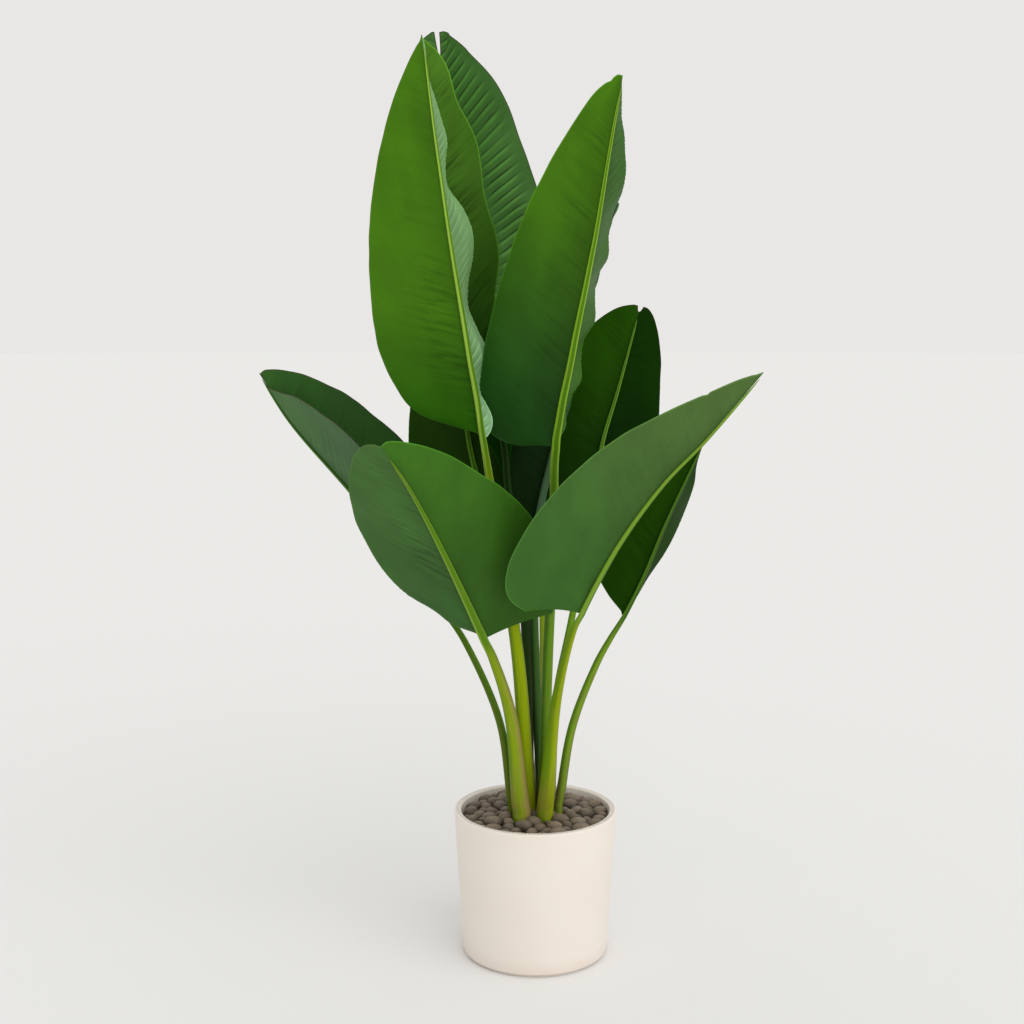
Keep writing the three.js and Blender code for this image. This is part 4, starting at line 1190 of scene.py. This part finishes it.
class PLANT_OT_blades(bpy.types.Operator):
    """Model the leaf blades: folded halves, waved margins, cross pleats and a real thickness"""

    bl_idname = "plant.blades"
    bl_label = "Leaf blades"

    def execute(self, context):
        s = context.scene.plant_foliage
        for leaf in LEAVES:
            self.blade(leaf, s)
        return {"FINISHED"}

    def row_shares(self, leaf, length, step):
        """Rows along the midrib, closer at both ends and round each cut of the margin."""
        count = int(length / step)
        even = np.linspace(0, 1, count)
        shares = 0.7 * even + 0.3 * along(even)
        extra = []
        for side in ("left", "right"):
            for at, _ in leaf[side]["cuts"]:
                extra += list(self.cut_place(leaf, at) + np.linspace(-CUT_REACH, CUT_REACH, 9) / length)
        shares = np.unique(np.round(np.concatenate([shares, extra]), 6))
        return shares[np.concatenate([[True], np.diff(shares) > LEAST_ROW_STEP / length])]

    def cut_place(self, leaf, at):
        """Share of the length where a cut lies, on the source's nearest row."""
        return along(round(at * leaf["rows"]) / leaf["rows"])

    def inset(self, points):
        """Distance of each point from the nearest stretch of the blade's outline, foot left out."""
        line = np.concatenate([points[:, 0], points[-1, 1:], points[-2::-1, -1]])
        start, step = line[:-1], np.diff(line, axis=0)
        size = np.maximum(np.sum(step**2, axis=1), 1e-9)
        nearest = []
        for row in points:
            gap = row[:, None] - start[None]
            share = np.clip(np.sum(gap * step, axis=2) / size, 0, 1)
            nearest.append(np.min(np.linalg.norm(gap - share[..., None] * step, axis=2), axis=1))
        return np.array(nearest)

    def half_width(self, leaf, side, length, shares):
        """Half width of one half in each row, with its uneven margin and its cuts."""
        h = leaf["left" if side > 0 else "right"]
        width = np.maximum(LEAST_HALF_WIDTH, through(h["widths"], station(shares)))
        if h["widths"][-1] < POINTED_WIDTH and not h["notch"]:
            width = width * np.clip((1 - shares) / TIP_ROUND, 0.1, 1) ** 0.5
        run = shares * length
        uneven = ripples(int(leaf["name"]) * 10 + side)(run / 30, 0 * run)
        width = width * (1 + MARGIN_UNEVENNESS * uneven)
        for at, depth in h["cuts"]:
            near = np.abs(shares - self.cut_place(leaf, at)) * length
            width = width * (1 - depth * np.clip(1 - near / CUT_REACH, 0, 1) ** 0.8)
        return width

    def half_surface(self, leaf, side, spine, shares, columns):
        """Points of one half, how far out each is and where along the midrib; side is 1 on the left."""
        h = leaf["left" if side > 0 else "right"]
        t = station(shares)
        v = np.linspace(0, 1, columns + 1)
        place, ahead, up, left = spine.frames(spine.parameter(shares))
        width = self.half_width(leaf, side, spine.length, shares)
        flat = width[:, None] * v[None]
        height, count, phase = h["wave"]
        swing = np.sin(2 * np.pi * (count * t + phase))
        wave = (height * width / max(h["widths"]) * swing)[:, None] * v[None] ** 2
        angle = np.radians(through(h["fold"], t)[:, None] + h["curl"] * v[None] / 2)
        rounded = np.sqrt(flat**2 + FOLD_ROUND**2) - FOLD_ROUND
        to_left = side * (flat * np.cos(angle) - wave * np.sin(angle))
        to_up = rounded * np.sin(angle) + wave * np.cos(angle)
        lobe = h["notch"] * smooth((t - NOTCH_FROM) / (NOTCH_TO - NOTCH_FROM))
        forward = through(h["sweep"], t)[:, None] * flat * v[None] + lobe[:, None] * v[None] ** 2
        points = (
            place[:, None]
            + left[:, None] * to_left[..., None]
            + up[:, None] * to_up[..., None]
            + ahead[:, None] * forward[..., None]
        )
        order = slice(None, 0, -1) if side < 0 else slice(None)
        return points[:, order], (side * flat)[:, order], (shares[:, None] * spine.length + forward)[:, order]

    def pleats(self, leaf, shares, run, reach):
        """Height of the pleats and swells above the smooth blade, and the cross ribs' count along it."""
        seed = int(leaf["name"])
        soft = ripples(seed)
        far = np.abs(reach)
        foot_lean, tip_lean = leaf["lean"]
        lined = run - (foot_lean + (tip_lean - foot_lean) * shares[:, None]) * far
        turn = lined / leaf["look"]["spacing"] + 0.35 * soft(lined / 70, reach / 90)
        left_pleat, right_pleat, swell = leaf["pleat"]
        strong = np.where(reach > 0, left_pleat, right_pleat) * (0.6 + 0.4 * soft(lined / 30 + 7, reach / 80))
        folds = strong * (np.cos(2 * np.pi * turn) + 0.5 * np.cos(2 * np.pi * turn / 2.3))
        broad = swell * ripples(seed + 50)(run / 65, reach / 60)
        ends = np.clip(np.minimum(shares, 1 - shares) / PLEAT_ENDS, 0, 1)[:, None]
        return (folds + broad) * smooth((far - PLEAT_FROM) / PLEAT_RISE) * ends, turn

    def blade(self, leaf, s):
        spine = Spine(leaf)
        shares = self.row_shares(leaf, spine.length, s.row_step / MM)
        halves = [self.half_surface(leaf, side, spine, shares, s.columns) for side in (-1, 1)]
        points, reach, run = (np.concatenate(parts, axis=1) for parts in zip(*halves))
        inset = self.inset(points)
        normal = unit(np.cross(np.gradient(points, axis=1), np.gradient(points, axis=0)))
        height, turn = self.pleats(leaf, shares, run, reach)
        points = points + normal * height[..., None]
        blade, row, column = placed_grid("leaf_blade_" + leaf["name"], points)
        wall = blade.modifiers.new("thickness", "SOLIDIFY")
        wall.thickness = s.thickness
        wall.offset = 0
        bpy.ops.object.modifier_apply(modifier=wall.name)
        count = len(row)
        if len(blade.data.vertices) != 2 * count:
            raise RuntimeError("the blade's two faces have different vertices")
        # The first face's vertices come first; it is the upper side where it lies along the normal
        co = np.empty(6 * count, np.float32)
        blade.data.vertices.foreach_get("co", co)
        first = co.reshape(-1, 3)[:count]
        lifted = np.sum((first - points[row, column] * MM) * normal[row, column]) > 0
        upper = np.concatenate([np.full(count, float(lifted)), np.full(count, float(not lifted))])
        along_rib = turn[row, column] * leaf["look"]["spacing"] * MM
        vein = np.stack([along_rib, reach[row, column] * MM, np.full(count, int(leaf["name"]))], axis=1)
        put_attribute(blade.data, "vein", np.concatenate([vein, vein]))
        put_attribute(blade.data, "inset", np.tile(inset[row, column] * MM, 2))
        put_attribute(blade.data, "upper_side", upper)
        put_attribute(blade.data, "share", np.tile(shares[row], 2))
        bpy.ops.object.shade_smooth_by_angle(angle=math.radians(50))
        blade.data.materials.append(blade_material(leaf, s))
        finish_piece(blade, leaf["look"]["slot"], "blade_" + leaf["name"])


class PLANT_OT_stage(bpy.types.Operator):
    """Set up the camera, the pale floor and the soft studio light"""

    bl_idname = "plant.stage"
    bl_label = "Studio"

    def execute(self, context):
        s = context.scene.plant_stage
        scene = context.scene
        deselect()
        bpy.ops.mesh.primitive_circle_add(
            vertices=96, radius=FLOOR_RADIUS, fill_type="NGON", location=(0, 0, 0)
        )
        floor = context.object
        floor.name = floor.data.name = "studio_floor"
        material, _, shader = new_material("studio_floor_matt_paint")
        shader.inputs["Base Color"].default_value = (*s.floor_colour, 1)
        shader.inputs["Roughness"].default_value = 1
        shader.inputs["Specular IOR Level"].default_value = 0
        floor.data.materials.append(material)
        world = bpy.data.worlds.new("even_studio_light")
        world.use_nodes = True
        back = world.node_tree.nodes["Background"]
        back.inputs["Color"].default_value = SKY_COLOUR
        back.inputs["Strength"].default_value = s.sky_strength
        scene.world = world
        deselect()
        bpy.ops.object.light_add(type="SUN", location=(1.5, -2, 3))
        key = context.object
        key.name = "soft_key"
        key.data.energy = s.key_strength
        key.data.angle = s.key_size
        key.rotation_euler = Vector(KEY_FROM).to_track_quat("Z", "Y").to_euler()
        deselect()
        bpy.ops.object.camera_add(location=CAMERA_PLACE, rotation=(CAMERA_PITCH, 0, 0))
        camera = context.object
        camera.name = "camera"
        camera.data.lens = CAMERA_LENS
        camera.data.sensor_width = SENSOR_WIDTH
        camera.data.clip_end = CLIP_END
        scene.camera = camera
        scene.view_settings.view_transform = "Standard"
        return {"FINISHED"}


class PLANT_PT_panel(bpy.types.Panel):
    bl_idname = "PLANT_PT_panel"
    bl_label = "Potted Banana Plant"
    bl_space_type = "VIEW_3D"
    bl_region_type = "UI"
    bl_category = "Plant"

    def draw(self, context):
        for title, group, operators in SECTIONS:
            box = self.layout.box()
            box.label(text=title)
            settings = getattr(context.scene, group)
            for name in settings.__annotations__:
                box.prop(settings, name)
            for operator in operators:
                box.operator(operator.bl_idname)


SECTIONS = [
    ("Planter", "plant_planter", [PLANT_OT_planter]),
    ("Filling", "plant_filling", [PLANT_OT_filling]),
    ("Foliage", "plant_foliage", [PLANT_OT_stalks, PLANT_OT_blades]),
    ("Studio", "plant_stage", [PLANT_OT_stage]),
]
SETTINGS = {
    "plant_planter": PlanterSettings,
    "plant_filling": FillingSettings,
    "plant_foliage": FoliageSettings,
    "plant_stage": StageSettings,
}
CLASSES = [*SETTINGS.values(), *(op for _, _, ops in SECTIONS for op in ops), PLANT_PT_panel]


def register():
    for item in CLASSES:
        bpy.utils.register_class(item)
    for name, group in SETTINGS.items():
        setattr(bpy.types.Scene, name, bpy.props.PointerProperty(type=group))


def unregister():
    for name in SETTINGS:
        delattr(bpy.types.Scene, name)
    for item in reversed(CLASSES):
        bpy.utils.unregister_class(item)


def main():
    register()
    bpy.ops.plant.stage()
    bpy.ops.plant.planter()
    bpy.ops.plant.filling()
    bpy.ops.plant.stalks()
    bpy.ops.plant.blades()


if __name__ == "__main__":
    main()
